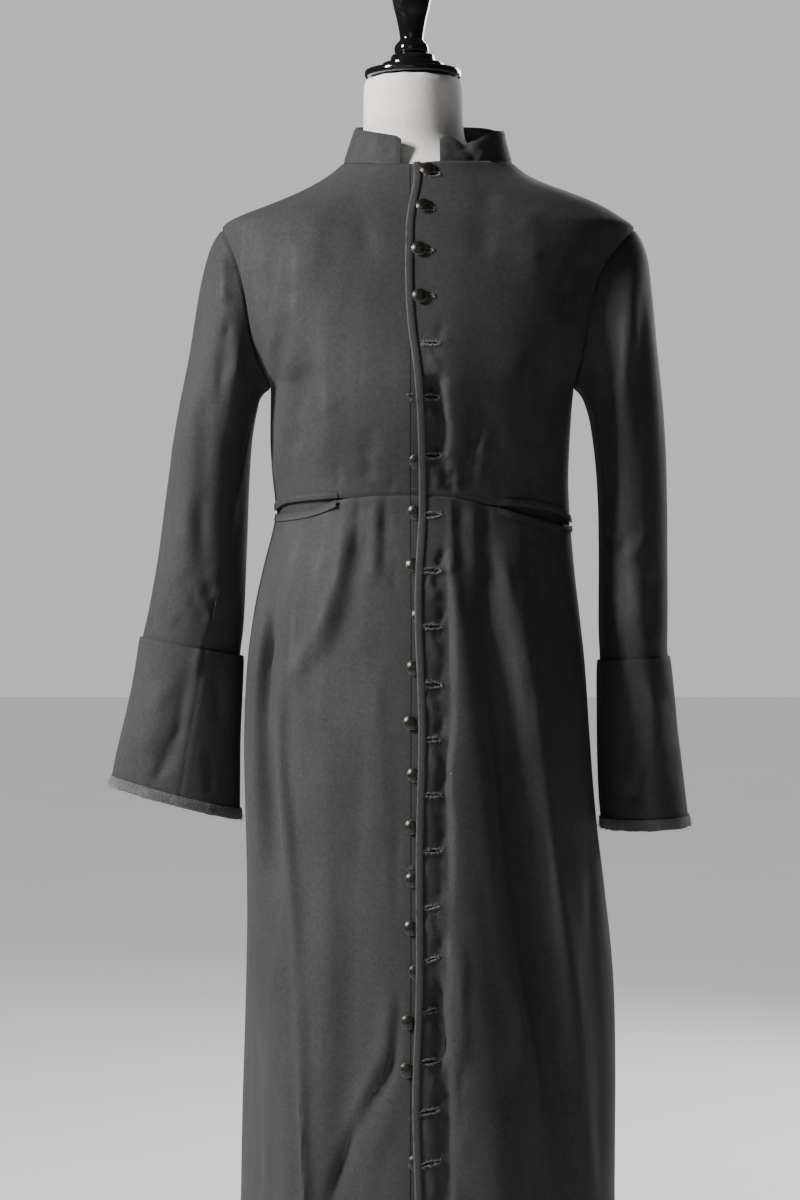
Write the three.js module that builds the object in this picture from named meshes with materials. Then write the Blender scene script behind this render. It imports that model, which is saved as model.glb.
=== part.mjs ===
// A clergy coat (cassock) on a limbless dress form with a round stand.
// The floor is Z = 0, the front faces -Y and the wearer's left is +X. All sizes are in millimetres.
import * as THREE from 'three';

const DEG = Math.PI / 180;

// ---------- driving dimensions ----------
const CLOTH = 1.8;            // thickness of a coat panel
const SEAM = 0.3;             // space left between two sewn pieces
const SQUARE = 2.3;           // how square the level sections of the body are (2 is an ellipse)
const HEM_Z = 120;            // hem of the skirt above the floor
const WAIST_Z = 1172;         // mean height of the waist seam
const ARMHOLE = { middle: 1394.5, half: 89.5, deep: 68 };   // height of its centre, half height, half depth
const SHOULDER_Z = ARMHOLE.middle + ARMHOLE.half;
const LAP_END = 16;           // the front that lies under ends this far past the middle
const EDGE_STRIP = { width: 7.5, thick: 1.2 };
const WELT = { width: 7.5, thick: 1.3 };
const COLLAR_THICK = 2.4;
const BRAID = { width: 12, thick: 1.3 };
const BUTTON = { seat: 3.6, rim: 8, rimHeight: 1.8, shoulder: 6.4, shoulderHeight: 3.6, height: 4.6 };
const NECK = { x: -16.5, radius: 55, top: 1649 };
const FORM_FOOT_Z = 860;
const POLE_RADIUS = 16;
const BASE_RADIUS = 205;

const CHARCOAL = 0x232227;

// Level sections of the closed coat: height, right side, left side, front and back from the axis.
const BODY = [
  // z, right, left, front, back
  [120, -213, 212, 215, 262],
  [415, -206, 205, 195, 235],
  [525, -204, 206, 189, 222],
  [635, -200, 206, 181, 203],
  [745, -198, 196, 170, 187],
  [855, -201, 181.5, 160, 168],
  [915, -203, 178, 154, 159],
  [1014, -199, 172.5, 143, 141],
  [1075, -190, 164, 134, 126],
  [1119, -180, 160, 126, 117],
  [1172, -167, 155.5, 116, 104],
  [1207, -170.5, 154, 120, 107],
  [1251, -174, 156, 128, 113],
  [1305, -173, 160, 136, 122],
  [1350, -208, 184, 129, 124],
  [1394, -223, 198, 123.5, 125],
  [1440, -230, 212, 115.5, 121],
  [1465, -229, 222, 110.5, 116],
  [1484, -228, 229, 106, 110.5],
  [1491, -218, 217, 104, 108],
  [1502, -190, 201, 99, 103],
  [1514, -157, 177, 94, 98],
  [1530, -125, 129, 86, 90],
  [1545, -102, 102, 78, 82],
  [1556, -92.5, 92.5, 73, 77],
  [1572, -87, 87, 68, 72],
];

// Free edge of the front that laps over: height, distance from the middle.
const FRONT_EDGE = [
  // z, x
  [120, -14],
  [451, -14.3],
  [544, -18.5],
  [575, -19.5],
  [658, -15.8],
  [710, -12.5],
  [762, -14.7],
  [929, -14.1],
  [981, -12],
  [1033, -9.8],
  [1117, -14],
  [1161, -15],
  [1182, -10.6],
  [1255, -11.8],
  [1318, -16],
  [1371, -23.3],
  [1419, -25.5],
  [1475, -24.4],
  [1504, -20],
  [1527, -15.8],
  [1548, -16],
];

// How far the lapping front stands off the one below: more where buttons lie under its edge.
const STAND_OFF = [
  // z, distance
  [120, 7.8],
  [1290, 7.8],
  [1370, 4.4],
  [1420, 2.8],
  [1560, 2.8],
];

// Waist seam round the body, and how far the pocket mouths gape in it.
const WAIST_SEAM = [
  // angle from the front, z, gape
  [-180, 1171, 0],
  [-90, 1171, 0],
  [-80, 1171, 4],
  [-62, 1174, 12],
  [-48, 1176, 12],
  [-30, 1184, 0],
  [-8, 1186, 0],
  [10, 1184, 0],
  [22, 1177, 0],
  [42, 1169, 11],
  [60, 1162, 13],
  [80, 1158, 3],
  [90, 1157.5, 0],
  [130, 1163, 0],
  [180, 1171, 0],
];

// Neck seam and collar: angle, seam height, top edge height, how far the top leans in.
const COLLAR = [
  // angle, seam, top, lean
  [-180, 1566, 1607, 10],
  [-135, 1562, 1603, 12],
  [-90, 1555, 1595, 13],
  [-45, 1548, 1584, 11],
  [-17, 1543.5, 1575, 8],
  [7, 1547, 1572, 9],
  [20, 1548, 1574, 8],
  [33, 1549, 1568.5, 3],
  [45, 1550, 1577, 1],
  [62, 1552, 1586, 4],
  [90, 1555, 1589, 12],
  [135, 1562, 1602, 12],
  [180, 1566, 1607, 10],
];
const COLLAR_START = 7;
const COLLAR_END = 343;

// Folds of the skirt: heights of the two ends, sideways place at the top, middle and bottom,
// half width at the top and bottom, height at the top and bottom (below zero is a valley).
// A fold on the back is told by back = 1.
const FOLDS = [
  // top, end, xTop, xMid, xEnd, wideTop, wideEnd, highTop, highEnd, back
  [1140, 120, -154, -158, -132, 15, 26, 7, 12, 0],
  [1130, 690, -171, -179, -162, 17, 17, -17, -10, 0],
  [1180, 1000, -86, -105, -136, 22, 24, 6, 3, 0],
  [830, 300, -76, -84, -92, 26, 34, -5, -8, 0],
  [1150, 120, 54, 110, 182, 18, 52, -9, -42, 0],
  [1140, 120, 30, 55, 106, 20, 36, 5, 13, 0],
  [1120, 420, 88, 138, 174, 20, 22, 6, 10, 0],
  [1120, 120, -62, -80, -96, 24, 42, -8, -24, 1],
  [1120, 120, -116, -140, -152, 24, 40, 6, 14, 1],
  [1120, 120, 58, 76, 92, 24, 42, -8, -24, 1],
  [1120, 120, 110, 132, 150, 24, 40, 6, 14, 1],
  [1120, 120, -14, -16, -18, 24, 40, 5, 12, 1],
];

// Sleeve sections from the armhole to the hem of the cuff.
// step, outer side x and z, inner side x and z, half depth, middle of the depth
const SLEEVES = {
  right: [
    [0, -228, 1484, -173, 1305, 68, 0],
    [1, -240, 1468, -179, 1301, 71, 0],
    [2, -249, 1432, -183, 1296, 72, 0],
    [3, -256, 1395, -185, 1291, 71, 0],
    [4, -262, 1350, -186, 1285, 69, 1],
    [5, -270, 1312, -189, 1272, 66, 2],
    [6, -279, 1266, -193, 1245, 63, 3],
    [7, -288, 1207, -195.5, 1200, 60, 4],
    [8, -296, 1141, -197, 1141, 58, 6],
    [9, -303, 1092, -198.5, 1088, 57, 8],
    [10, -312, 1052, -200, 1040, 56, 11],
    [11, -319.5, 1035, -202, 1013, 56, 13],
    [12, -326.5, 987, -204, 970, 55, 17],
    [13, -339, 936, -206.5, 925, 54, 21],
    [14, -350, 890, -206.5, 870, 52, 23],
    [15, -352, 870, -206.5, 832, 51, 23],
  ],
  left: [
    [0, 229, 1484, 160, 1305, 68, 0],
    [1, 239.5, 1469, 164, 1302, 71, 0],
    [2, 245, 1438, 167, 1298, 73, 0],
    [3, 249, 1398, 170, 1293, 73, 0],
    [4, 253, 1352, 173, 1285, 72, 0],
    [5, 257, 1312, 177, 1272, 70, 0],
    [6, 261, 1262, 181, 1245, 67, 0],
    [7, 264, 1207, 185.5, 1200, 64, 0],
    [8, 264, 1141, 186.5, 1141, 63, 0],
    [9, 264, 1085, 186.5, 1085, 64, 0],
    [10, 264.5, 1035, 186, 1032, 66, 0],
    [11, 267, 1014, 185.5, 1009, 69, 0],
    [12, 272, 974, 185, 968, 71, 0],
    [13, 277, 921, 185.5, 918, 73, 0],
    [14, 284.5, 860, 187, 862, 75, 0],
    [15, 288, 828, 191, 825, 75, 0],
  ],
};
const CUFF_STEP = 11;
const SLEEVE_ENDS = 11.5;     // the sleeve runs this far inside its cuff
const CUFF_PROUD = 2.7;       // cuff surface outside the sleeve's surface

// Forearm and hind-arm seams round the sleeve: 0 is outside, 90 front, 180 inside.
const SLEEVE_SEAMS = {
  // step, forearm seam, hind-arm seam
  right: [[0, 157.5, 247.5], [5, 160, 245], [7, 140, 240], [9, 118, 240], [11, 108, 240], [15, 95, 240]],
  left: [[0, 157.5, 247.5], [7, 148, 245], [15, 140, 240]],
};

// Buttons: the first four are done up through the lapping front, the others lie beside its edge.
const BUTTONS_DONE_UP = [
  // x, z
  [-1.6, 1536.4],
  [-5.8, 1494.8],
  [-10.6, 1448],
  [-9.6, 1397],
];
const BUTTONS_OPEN = [
  // x, z
  [-13, 1222],
  [-14.5, 1168.3],
  [-16.4, 1112],
  [-10.5, 1058],
  [-15.8, 1003.4],
  [-19.2, 946],
  [-15.4, 891.6],
  [-17.9, 837.4],
  [-17.2, 782.5],
  [-18.5, 732.8],
  [-13.8, 687.5],
  [-21.3, 636],
  [-22.7, 586.9],
  [-14.3, 491.7],
  [-17, 440],
  [-16, 388],
  [-17, 336],
  [-16, 284],
];

// The form below the waist: height, right, left, front, back.
const HIPS = [
  [860, -138, 138, 92, 102],
  [960, -150, 146, 104, 114],
  [1060, -157, 147, 108, 110],
  [1150, -158, 148, 106, 98],
  [1180, -158, 148, 106, 96],
];

// The flat sides of the form inside the armholes: height, right, left.
const FORM_SIDES = [
  [1240, -162, 148],
  [1315, -164, 150],
  [1360, -172, 158],
  [1410, -180, 166],
  [1470, -186, 172],
];

// ---------- tables and small shapes ----------
function steeper(a, b) {
  if (a * b <= 0) return 0;
  return (2 * a * b) / (a + b);
}

// A column of a table at any place between its rows, as a smooth curve through them.
function along(table, at, column) {
  let i = 0;
  while (i < table.length - 2 && at > table[i + 1][0]) i += 1;
  const p = table[i];
  const q = table[i + 1];
  const rise = (a, b) => (b[column] - a[column]) / (b[0] - a[0]);
  const here = rise(p, q);
  const first = i > 0 ? steeper(rise(table[i - 1], p), here) : here;
  const last = i < table.length - 2 ? steeper(here, rise(q, table[i + 2])) : here;
  const span = q[0] - p[0];
  const t = Math.min(1, Math.max(0, (at - p[0]) / span));
  const u = 1 - t;
  const ends = p[column] * u * u * (1 + 2 * t) + q[column] * t * t * (1 + 2 * u);
  return ends + span * t * u * (first * u - last * t);
}

function smooth(t) {
  const k = Math.min(1, Math.max(0, t));
  return k * k * (3 - 2 * k);
}

function mix(a, b, t) {
  return a + (b - a) * t;
}

// ---------- the body of the coat ----------
function sectionPoint(angle, z, right, left, front, back) {
  const s = Math.sin(angle);
  const c = Math.cos(angle);
  const q = Math.pow(Math.abs(s) ** SQUARE + Math.abs(c) ** SQUARE, 1 / SQUARE);
  return new THREE.Vector3((s / q) * (s < 0 ? -right : left), (-c / q) * (c > 0 ? front : back), z);
}

function plainBody(angle, z) {
  const [right, left, front, back] = [1, 2, 3, 4].map((column) => along(BODY, z, column));
  return sectionPoint(angle, z, right, left, front, back);
}

// The angle from the front (0) at which the section has the sideways place x.
function angleAt(x, z, back = 0) {
  const half = Math.abs(along(BODY, z, x < 0 ? 1 : 2));
  const share = Math.min(0.999, Math.abs(x) / half);
  const angle = Math.atan2(share, (1 - share ** SQUARE) ** (1 / SQUARE));
  return Math.sign(x) * (back ? Math.PI - angle : angle);
}

// Height of the skirt's folds at a point, along the level outward direction.
function foldHeight(angle, z) {
  const turn = Math.atan2(Math.sin(angle), Math.cos(angle));
  const here = plainBody(turn, z);
  let sum = 0;
  for (const [top, end, xTop, xMid, xEnd, wideTop, wideEnd, highTop, highEnd, back] of FOLDS) {
    const t = (top - z) / (top - end);
    if (t <= 0 || t > 1.2 || (back === 1) !== (Math.abs(turn) > Math.PI / 2)) continue;
    const x = along([[0, xTop], [0.5, xMid], [1, xEnd]], t, 1);
    const middle = plainBody(angleAt(x, z, back), z);
    const away = Math.hypot(here.x - middle.x, here.y - middle.y) / mix(wideTop, wideEnd, Math.min(1, t));
    if (away >= 1) continue;
    const fade = smooth((top - z) / 70) * (end > HEM_Z ? smooth((z - end + 60) / 110) : 1);
    sum += mix(highTop, highEnd, Math.min(1, t)) * fade * (1 - away * away) ** 2;
  }
  return sum;
}

function levelOut(angle, z) {
  const step = 0.01;
  const along2 = plainBody(angle + step, z).sub(plainBody(angle - step, z));
  return new THREE.Vector3(along2.y, -along2.x, 0).normalize();
}

function bodySurface(angle, z) {
  return plainBody(angle, z).addScaledVector(levelOut(angle, z), foldHeight(angle, z));
}

function lapSurface(angle, z) {
  const point = bodySurface(angle, z);
  const share = smooth((62 - plainBody(angle, z).x) / 44);
  return point.addScaledVector(levelOut(angle, z), share * along(STAND_OFF, z, 1));
}

// Outward direction of a surface given by two measures.
function outward(surface, a, b, stepA, stepB) {
  const across = surface(a + stepA, b).sub(surface(a - stepA, b));
  const up = surface(a, b + stepB).sub(surface(a, b - stepB));
  return across.cross(up).normalize();
}

function bodyOut(surface, angle, z) {
  return outward(surface, angle, z, 0.004, 0.5);
}

// ---------- sleeves ----------
function sleeveSection(rows, step, turn) {
  const [ox, oz, ix, iz, deep, middle] = [1, 2, 3, 4, 5, 6].map((column) => along(rows, step, column));
  const c = Math.cos(turn);
  return new THREE.Vector3(
    (ox + ix) / 2 + (c * (ox - ix)) / 2,
    middle - Math.sin(turn) * deep,
    (oz + iz) / 2 + (c * (oz - iz)) / 2,
  );
}

// Where the armhole runs on the body: turn 0 is the shoulder tip, 90 the front, 180 the armpit.
function armholeAngle(side, turn) {
  const z = ARMHOLE.middle + ARMHOLE.half * Math.cos(turn);
  const y = ARMHOLE.deep * Math.abs(Math.sin(turn));
  const front = Math.sin(turn) >= 0;
  const share = y / along(BODY, z, front ? 3 : 4);
  const angle = Math.atan2((1 - share ** SQUARE) ** (1 / SQUARE), share);
  return { angle: side * (front ? angle : Math.PI - angle), z };
}

function sleeveSurface(side, turn, step, sunk = 0) {
  const rows = side < 0 ? SLEEVES.right : SLEEVES.left;
  const point = sleeveSection(rows, step, turn);
  if (step < 3) {
    const seam = armholeAngle(side, turn);
    const shift = plainBody(seam.angle, seam.z).sub(sleeveSection(rows, 0, turn));
    point.addScaledVector(shift, (1 - Math.max(0, step) / 3) ** 2);
  }
  if (sunk > 0) {
    const inside = sunk * smooth((step - 9.6) / 1.2);
    if (inside > 0) point.addScaledVector(sleeveOut(side, turn, step), -inside);
  }
  return point;
}

function sleeveOut(side, turn, step) {
  const at = Math.min(14.98, Math.max(0.02, step));
  const direction = outward((a, b) => sleeveSurface(side, a, b), turn, at, 0.01, 0.02);
  return direction.multiplyScalar(side);
}

// Both sheets at the armhole end on one shared face, halfway between their own directions.
function armholeInward(side, turn, thick) {
  const seam = armholeAngle(side, turn);
  const body = bodyOut(plainBody, seam.angle, seam.z);
  const sleeve = sleeveOut(side, turn, 0);
  const shared = body.clone().add(sleeve).normalize();
  return shared.multiplyScalar(-thick / Math.max(0.45, shared.dot(body)));
}

// ---------- sheets ----------
// A sheet is a grid of outer points with the way in to the inner face at each of them.
function makeSheet(columns, rows, place) {
  const outer = [];
  const inward = [];
  for (let j = 0; j <= rows; j += 1) {
    outer.push([]);
    inward.push([]);
    for (let i = 0; i <= columns; i += 1) {
      const { point, into } = place(i / columns, j, i);
      outer[j].push(point);
      inward[j].push(into);
    }
  }
  return { outer, inward };
}

function nudge(point, target, distance) {
  const way = target.clone().sub(point);
  return point.clone().addScaledVector(way, distance / way.length());
}

// Draws the named edges back by half a seam, so that two sewn pieces stay a seam apart.
function drawBack(sheet, edges, distance = SEAM / 2) {
  const { outer } = sheet;
  const rows = outer.length - 1;
  const columns = outer[0].length - 1;
  const moved = outer.map((line) => line.map((point) => point.clone()));
  const pull = (j, i, jn, in_) => {
    moved[j][i].add(nudge(outer[j][i], outer[jn][in_], distance).sub(outer[j][i]));
  };
  for (let i = 0; i <= columns; i += 1) {
    if (edges.includes('bottom')) pull(0, i, 1, i);
    if (edges.includes('top')) pull(rows, i, rows - 1, i);
  }
  for (let j = 0; j <= rows; j += 1) {
    if (edges.includes('start')) pull(j, 0, j, 1);
    if (edges.includes('end')) pull(j, columns, j, columns - 1);
  }
  return { outer: moved, inward: sheet.inward };
}

function signedVolume(positions, index) {
  const p = (k) => new THREE.Vector3(positions[3 * k], positions[3 * k + 1], positions[3 * k + 2]);
  let sum = 0;
  for (let k = 0; k < index.length; k += 3) {
    sum += p(index[k]).dot(p(index[k + 1]).cross(p(index[k + 2])));
  }
  return sum / 6;
}

const group = new THREE.Group();

function addMesh(name, colour, positions, index, roughness = 0.9, metalness = 0) {
  if (signedVolume(positions, index) < 0) index.reverse();
  const geometry = new THREE.BufferGeometry();
  geometry.setAttribute('position', new THREE.Float32BufferAttribute(positions, 3));
  geometry.setIndex(index);
  geometry.computeVertexNormals();
  const material = new THREE.MeshStandardMaterial({ color: colour, roughness, metalness });
  const mesh = new THREE.Mesh(geometry, material);
  mesh.name = name;
  group.add(mesh);
  return mesh;
}

// Turns a sheet into one closed wall; a ring sheet closes on itself round the columns.
function addWall(name, sheet, colour = CHARCOAL, ring = false) {
  const { outer, inward } = sheet;
  const rows = outer.length;
  const columns = outer[0].length;
  const positions = [];
  for (const layer of [0, 1]) {
    for (let j = 0; j < rows; j += 1) {
      for (let i = 0; i < columns; i += 1) {
        const point = outer[j][i].clone().addScaledVector(inward[j][i], layer);
        positions.push(point.x, point.y, point.z);
      }
    }
  }
  const id = (layer, j, i) => layer * rows * columns + j * columns + (i % columns);
  const index = [];
  const quad = (a, b, c, d) => index.push(a, b, c, a, c, d);
  const strips = ring ? columns : columns - 1;
  const last = rows - 1;
  for (let i = 0; i < strips; i += 1) {
    for (let j = 0; j < last; j += 1) {
      quad(id(0, j, i), id(0, j, i + 1), id(0, j + 1, i + 1), id(0, j + 1, i));
      quad(id(1, j, i), id(1, j + 1, i), id(1, j + 1, i + 1), id(1, j, i + 1));
    }
    quad(id(1, 0, i), id(1, 0, i + 1), id(0, 0, i + 1), id(0, 0, i));
    quad(id(0, last, i), id(0, last, i + 1), id(1, last, i + 1), id(1, last, i));
  }
  if (!ring) {
    const side = columns - 1;
    for (let j = 0; j < last; j += 1) {
      quad(id(0, j, 0), id(0, j + 1, 0), id(1, j + 1, 0), id(1, j, 0));
      quad(id(0, j, side), id(1, j, side), id(1, j + 1, side), id(0, j + 1, side));
    }
  }
  return addMesh(name, colour, positions, index);
}

// ---------- body panels ----------
const WAIST_ROWS = [1172, 1192, 1218, 1248, 1278];
const ARMHOLE_ROWS = [180, 157.5, 135, 112.5, 90, 67.5, 45, 22.5, 0];
const NECK_ROWS = [0.1, 0.22, 0.36, 0.52, 0.68, 0.84, 1];
const BODY_ROWS = WAIST_ROWS.length + ARMHOLE_ROWS.length + NECK_ROWS.length - 1;

function wrapped(angle) {
  return Math.atan2(Math.sin(angle), Math.cos(angle)) / DEG;
}

function waistZ(angle, side) {
  const at = wrapped(angle);
  return along(WAIST_SEAM, at, 1) + (side * along(WAIST_SEAM, at, 2)) / 2;
}

function neckZ(angle) {
  return along(COLLAR, wrapped(angle), 1);
}

// The height of row j of a body panel at an angle, and its turn on the armhole if it lies there.
function bodyRow(j, angle) {
  if (j < WAIST_ROWS.length) {
    const fade = (1 - j / WAIST_ROWS.length) ** 2;
    return { z: WAIST_ROWS[j] + fade * (waistZ(angle, 1) - WAIST_Z) };
  }
  const k = j - WAIST_ROWS.length;
  if (k < ARMHOLE_ROWS.length) {
    const turn = ARMHOLE_ROWS[k] * DEG;
    return { z: ARMHOLE.middle + ARMHOLE.half * Math.cos(turn), turn };
  }
  return { z: mix(SHOULDER_Z, neckZ(angle), NECK_ROWS[k - ARMHOLE_ROWS.length]) };
}

// A body panel between its outer edge (side seam, armhole, shoulder seam) and its inner edge.
function bodyPanel(columns, side, back, surface, innerAngle) {
  return makeSheet(columns, BODY_ROWS, (u, j, i) => {
    const row = bodyRow(j, side * (Math.PI / 2));
    let outerAngle = side * (Math.PI / 2);
    let turn = null;
    if (row.turn !== undefined) {
      turn = back ? 2 * Math.PI - row.turn : row.turn;
      outerAngle = armholeAngle(side, turn).angle;
    }
    const angle = mix(outerAngle, innerAngle(bodyRow(j, 0).z), u);
    const { z } = bodyRow(j, angle);
    const point = surface(angle, z);
    let into = bodyOut(surface, angle, z).multiplyScalar(-CLOTH);
    if (i === 0 && turn !== null) into = armholeInward(side, turn, CLOTH);
    return { point, into };
  });
}

const backMiddle = (side) => () => side * Math.PI;
const lapEdge = (z) => angleAt(along(FRONT_EDGE, z, 1), z);
const underEdge = (z) => angleAt(LAP_END, z);
const panels = {};

panels.front_right = bodyPanel(12, -1, false, bodySurface, underEdge);
panels.front_left = bodyPanel(12, 1, false, lapSurface, lapEdge);
panels.back_right = bodyPanel(8, -1, true, bodySurface, backMiddle(-1));
panels.back_left = bodyPanel(8, 1, true, bodySurface, backMiddle(1));

addWall('front_right', drawBack(panels.front_right, ['bottom', 'start']));
addWall('front_left', drawBack(panels.front_left, ['bottom', 'start']));
addWall('back_right', drawBack(panels.back_right, ['bottom', 'start', 'end']));
addWall('back_left', drawBack(panels.back_left, ['bottom', 'start', 'end']));

// ---------- skirt panels ----------
const SKIRT_ROWS = [1, 0.93, 0.85, 0.76, 0.67, 0.58, 0.49, 0.4, 0.31, 0.23, 0.16, 0.1, 0.05, 0.02, 0];

function skirtPanel(columns, side, surface, innerAngle) {
  return makeSheet(columns, SKIRT_ROWS.length - 1, (u, j) => {
    const share = SKIRT_ROWS[j];
    const mean = mix(WAIST_Z, HEM_Z, share);
    const middleZ = mix(mean, bodyRow(0, 0).z, (1 - share) ** 4);
    const angle = mix(side * (Math.PI / 2), innerAngle(middleZ), u);
    const z = mean + (1 - share) ** 4 * (waistZ(angle, -1) - WAIST_Z);
    const into = bodyOut(surface, angle, z).multiplyScalar(-CLOTH);
    return { point: surface(angle, z), into };
  });
}

panels.skirt_front_right = skirtPanel(12, -1, bodySurface, underEdge);
panels.skirt_front_left = skirtPanel(12, 1, lapSurface, lapEdge);
panels.skirt_back_right = skirtPanel(8, -1, bodySurface, backMiddle(-1));
panels.skirt_back_left = skirtPanel(8, 1, bodySurface, backMiddle(1));

addWall('skirt_front_right', drawBack(panels.skirt_front_right, ['top', 'start']));
addWall('skirt_front_left', drawBack(panels.skirt_front_left, ['top', 'start']));
addWall('skirt_back_right', drawBack(panels.skirt_back_right, ['top', 'start', 'end']));
addWall('skirt_back_left', drawBack(panels.skirt_back_left, ['top', 'start', 'end']));

// ---------- what lies on a panel ----------
// A point between two points of a panel, moved off its face.
function onPanel(panel, from, to, distance, height) {
  const a = panel.outer[from[0]][from[1]];
  const b = panel.outer[to[0]][to[1]];
  const share = distance / a.distanceTo(b);
  const into = panel.inward[from[0]][from[1]].clone().lerp(panel.inward[to[0]][to[1]], share);
  return { point: a.clone().lerp(b, share).addScaledVector(into, -height / CLOTH), into };
}

function layer(columns, rows, thick, lift, place) {
  return makeSheet(columns, rows, (u, j, i) => {
    const [panel, from, to, distance] = place(i, j);
    const { point, into } = onPanel(panel, from, to, distance, lift + thick);
    return { point, into: into.multiplyScalar(thick / CLOTH) };
  });
}

// Edge strip down the lapping front, above and below the waist seam.
function edgeStrip(name, panel, ends) {
  const rows = panel.outer.length - 1;
  const last = panel.outer[0].length - 1;
  const strip = layer(1, rows, EDGE_STRIP.thick, SEAM, (i, j) => [
    panel, [j, last], [j, last - 1], i * EDGE_STRIP.width,
  ]);
  addWall(name, drawBack(strip, ends));
}

edgeStrip('edge_strip_upper', panels.front_left, ['bottom']);
edgeStrip('edge_strip_lower', panels.skirt_front_left, ['top']);

// Pocket mouths: two welts and the pocket cloth behind the gap.
function pocket(side, upper, lower, first, last) {
  const name = side < 0 ? 'pocket_right' : 'pocket_left';
  const top = lower.outer.length - 1;
  const count = last - first;
  const upperWelt = layer(count, 1, WELT.thick, SEAM, (i, j) => [
    upper, [0, first + i], [1, first + i], SEAM / 2 + j * WELT.width,
  ]);
  const lowerWelt = layer(count, 1, WELT.thick, SEAM, (i, j) => [
    lower, [top, first + i], [top - 1, first + i], SEAM / 2 + (1 - j) * WELT.width,
  ]);
  addWall(`${name}_upper`, upperWelt);
  addWall(`${name}_lower`, lowerWelt);
  const below = CLOTH + 0.7;
  const cloth = makeSheet(count, 2, (u, j, i) => {
    const high = onPanel(upper, [0, first + i], [1, first + i], 7, -below);
    const low = onPanel(lower, [top, first + i], [top - 1, first + i], 7, -below);
    const share = j / 2;
    const into = low.into.clone().lerp(high.into, share);
    const point = low.point.clone().lerp(high.point, share);
    if (j === 1) point.addScaledVector(into, 1);
    return { point, into: into.multiplyScalar(1.1 / CLOTH) };
  });
  addWall(`${name}_cloth`, cloth, 0x1b1a1e);
}

pocket(-1, panels.front_right, panels.skirt_front_right, 1, 7);
pocket(1, panels.front_left, panels.skirt_front_left, 1, 8);

// ---------- collar ----------
const collarSheet = makeSheet(24, 3, (u, j) => {
  const angle = mix(COLLAR_START, COLLAR_END, u) * DEG;
  const at = wrapped(angle);
  const [seam, top, lean] = [1, 2, 3].map((column) => along(COLLAR, at, column));
  const share = j / 3;
  const way = levelOut(angle, seam);
  const point = plainBody(angle, seam).addScaledVector(way, -lean * share);
  point.z = mix(seam + SEAM + 0.2, top, share);
  return { point, into: way.multiplyScalar(-COLLAR_THICK) };
});
addWall('collar', collarSheet);

// ---------- sleeves and cuffs ----------
const SLEEVE_STEPS = [0, 1, 2, 3, 4, 5, 6, 7, 8, 9, 10, 10.7, SLEEVE_ENDS];
const CUFF_STEPS = [CUFF_STEP, 12, 13, 14, 15];

// Turn at a share of the way round the upper or the under piece at a step.
function pieceTurn(side, under, share, step) {
  const seams = side < 0 ? SLEEVE_SEAMS.right : SLEEVE_SEAMS.left;
  const fore = along(seams, step, 1);
  const hind = along(seams, step, 2);
  const turn = under ? mix(fore, hind, share) : mix(hind - 360, fore, share);
  return turn * DEG;
}

function sleevePiece(side, under, columns, steps, sunk) {
  return makeSheet(columns, steps.length - 1, (u, j) => {
    const step = steps[j];
    const turn = pieceTurn(side, under, u, step);
    const point = sleeveSurface(side, turn, step, sunk);
    let into = sleeveOut(side, turn, step).multiplyScalar(-CLOTH);
    if (step === 0) into = armholeInward(side, turn, CLOTH);
    return { point, into };
  });
}

for (const side of [-1, 1]) {
  const hand = side < 0 ? 'right' : 'left';
  const hem = [];
  for (const under of [false, true]) {
    const piece = under ? 'under' : 'top';
    const sleeve = sleevePiece(side, under, under ? 4 : 12, SLEEVE_STEPS, CUFF_PROUD);
    const cuff = sleevePiece(side, under, under ? 8 : 12, CUFF_STEPS, 0);
    addWall(`sleeve_${hand}_${piece}`, drawBack(drawBack(sleeve, ['bottom'], 0.5), ['start', 'end']));
    addWall(`cuff_${hand}_${piece}`, drawBack(cuff, ['start', 'end']));
    const last = cuff.outer.length - 1;
    const columns = cuff.outer[0].length - 1;
    for (let i = 0; i < columns; i += 1) hem.push([cuff, [last, i], [last - 1, i]]);
  }
  const braid = makeSheet(hem.length - 1, 1, (u, j, i) => {
    const [cuff, from, to] = hem[i];
    const { point, into } = onPanel(cuff, from, to, (1 - j) * BRAID.width, SEAM + 0.1 + BRAID.thick);
    return { point, into: into.multiplyScalar(BRAID.thick / CLOTH) };
  });
  addWall(`cuff_${hand}_braid`, braid, 0x3a393c, true);
}

// ---------- turned pieces ----------
// A closed body of revolution from a profile of [radius, height] that starts and ends on the axis.
function turned(profile, sides) {
  const positions = [];
  const index = [];
  const rings = profile.slice(1, -1);
  positions.push(0, 0, profile[0][1]);
  for (const [radius, height] of rings) {
    for (let k = 0; k < sides; k += 1) {
      const turn = (2 * Math.PI * k) / sides;
      positions.push(radius * Math.cos(turn), radius * Math.sin(turn), height);
    }
  }
  positions.push(0, 0, profile[profile.length - 1][1]);
  const top = 1 + rings.length * sides;
  const id = (ring, k) => 1 + ring * sides + (k % sides);
  for (let k = 0; k < sides; k += 1) {
    index.push(0, id(0, k + 1), id(0, k));
    index.push(top, id(rings.length - 1, k), id(rings.length - 1, k + 1));
    for (let ring = 0; ring < rings.length - 1; ring += 1) {
      index.push(id(ring, k), id(ring, k + 1), id(ring + 1, k + 1));
      index.push(id(ring, k), id(ring + 1, k + 1), id(ring + 1, k));
    }
  }
  return { positions, index };
}

// ---------- buttons ----------
const BUTTON_PROFILE = [
  [0, 0],
  [BUTTON.seat, 0],
  [BUTTON.rim, BUTTON.rimHeight],
  [BUTTON.shoulder, BUTTON.shoulderHeight],
  [0, BUTTON.height],
];

// The point of one row of a panel at the sideways place x.
function rowPoint(line, x) {
  for (let i = 0; i < line.length - 1; i += 1) {
    const share = (x - line[i].x) / (line[i + 1].x - line[i].x);
    if (share >= 0 && share <= 1) return line[i].clone().lerp(line[i + 1], share);
  }
  return line[line.length - 1].clone();
}

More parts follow.
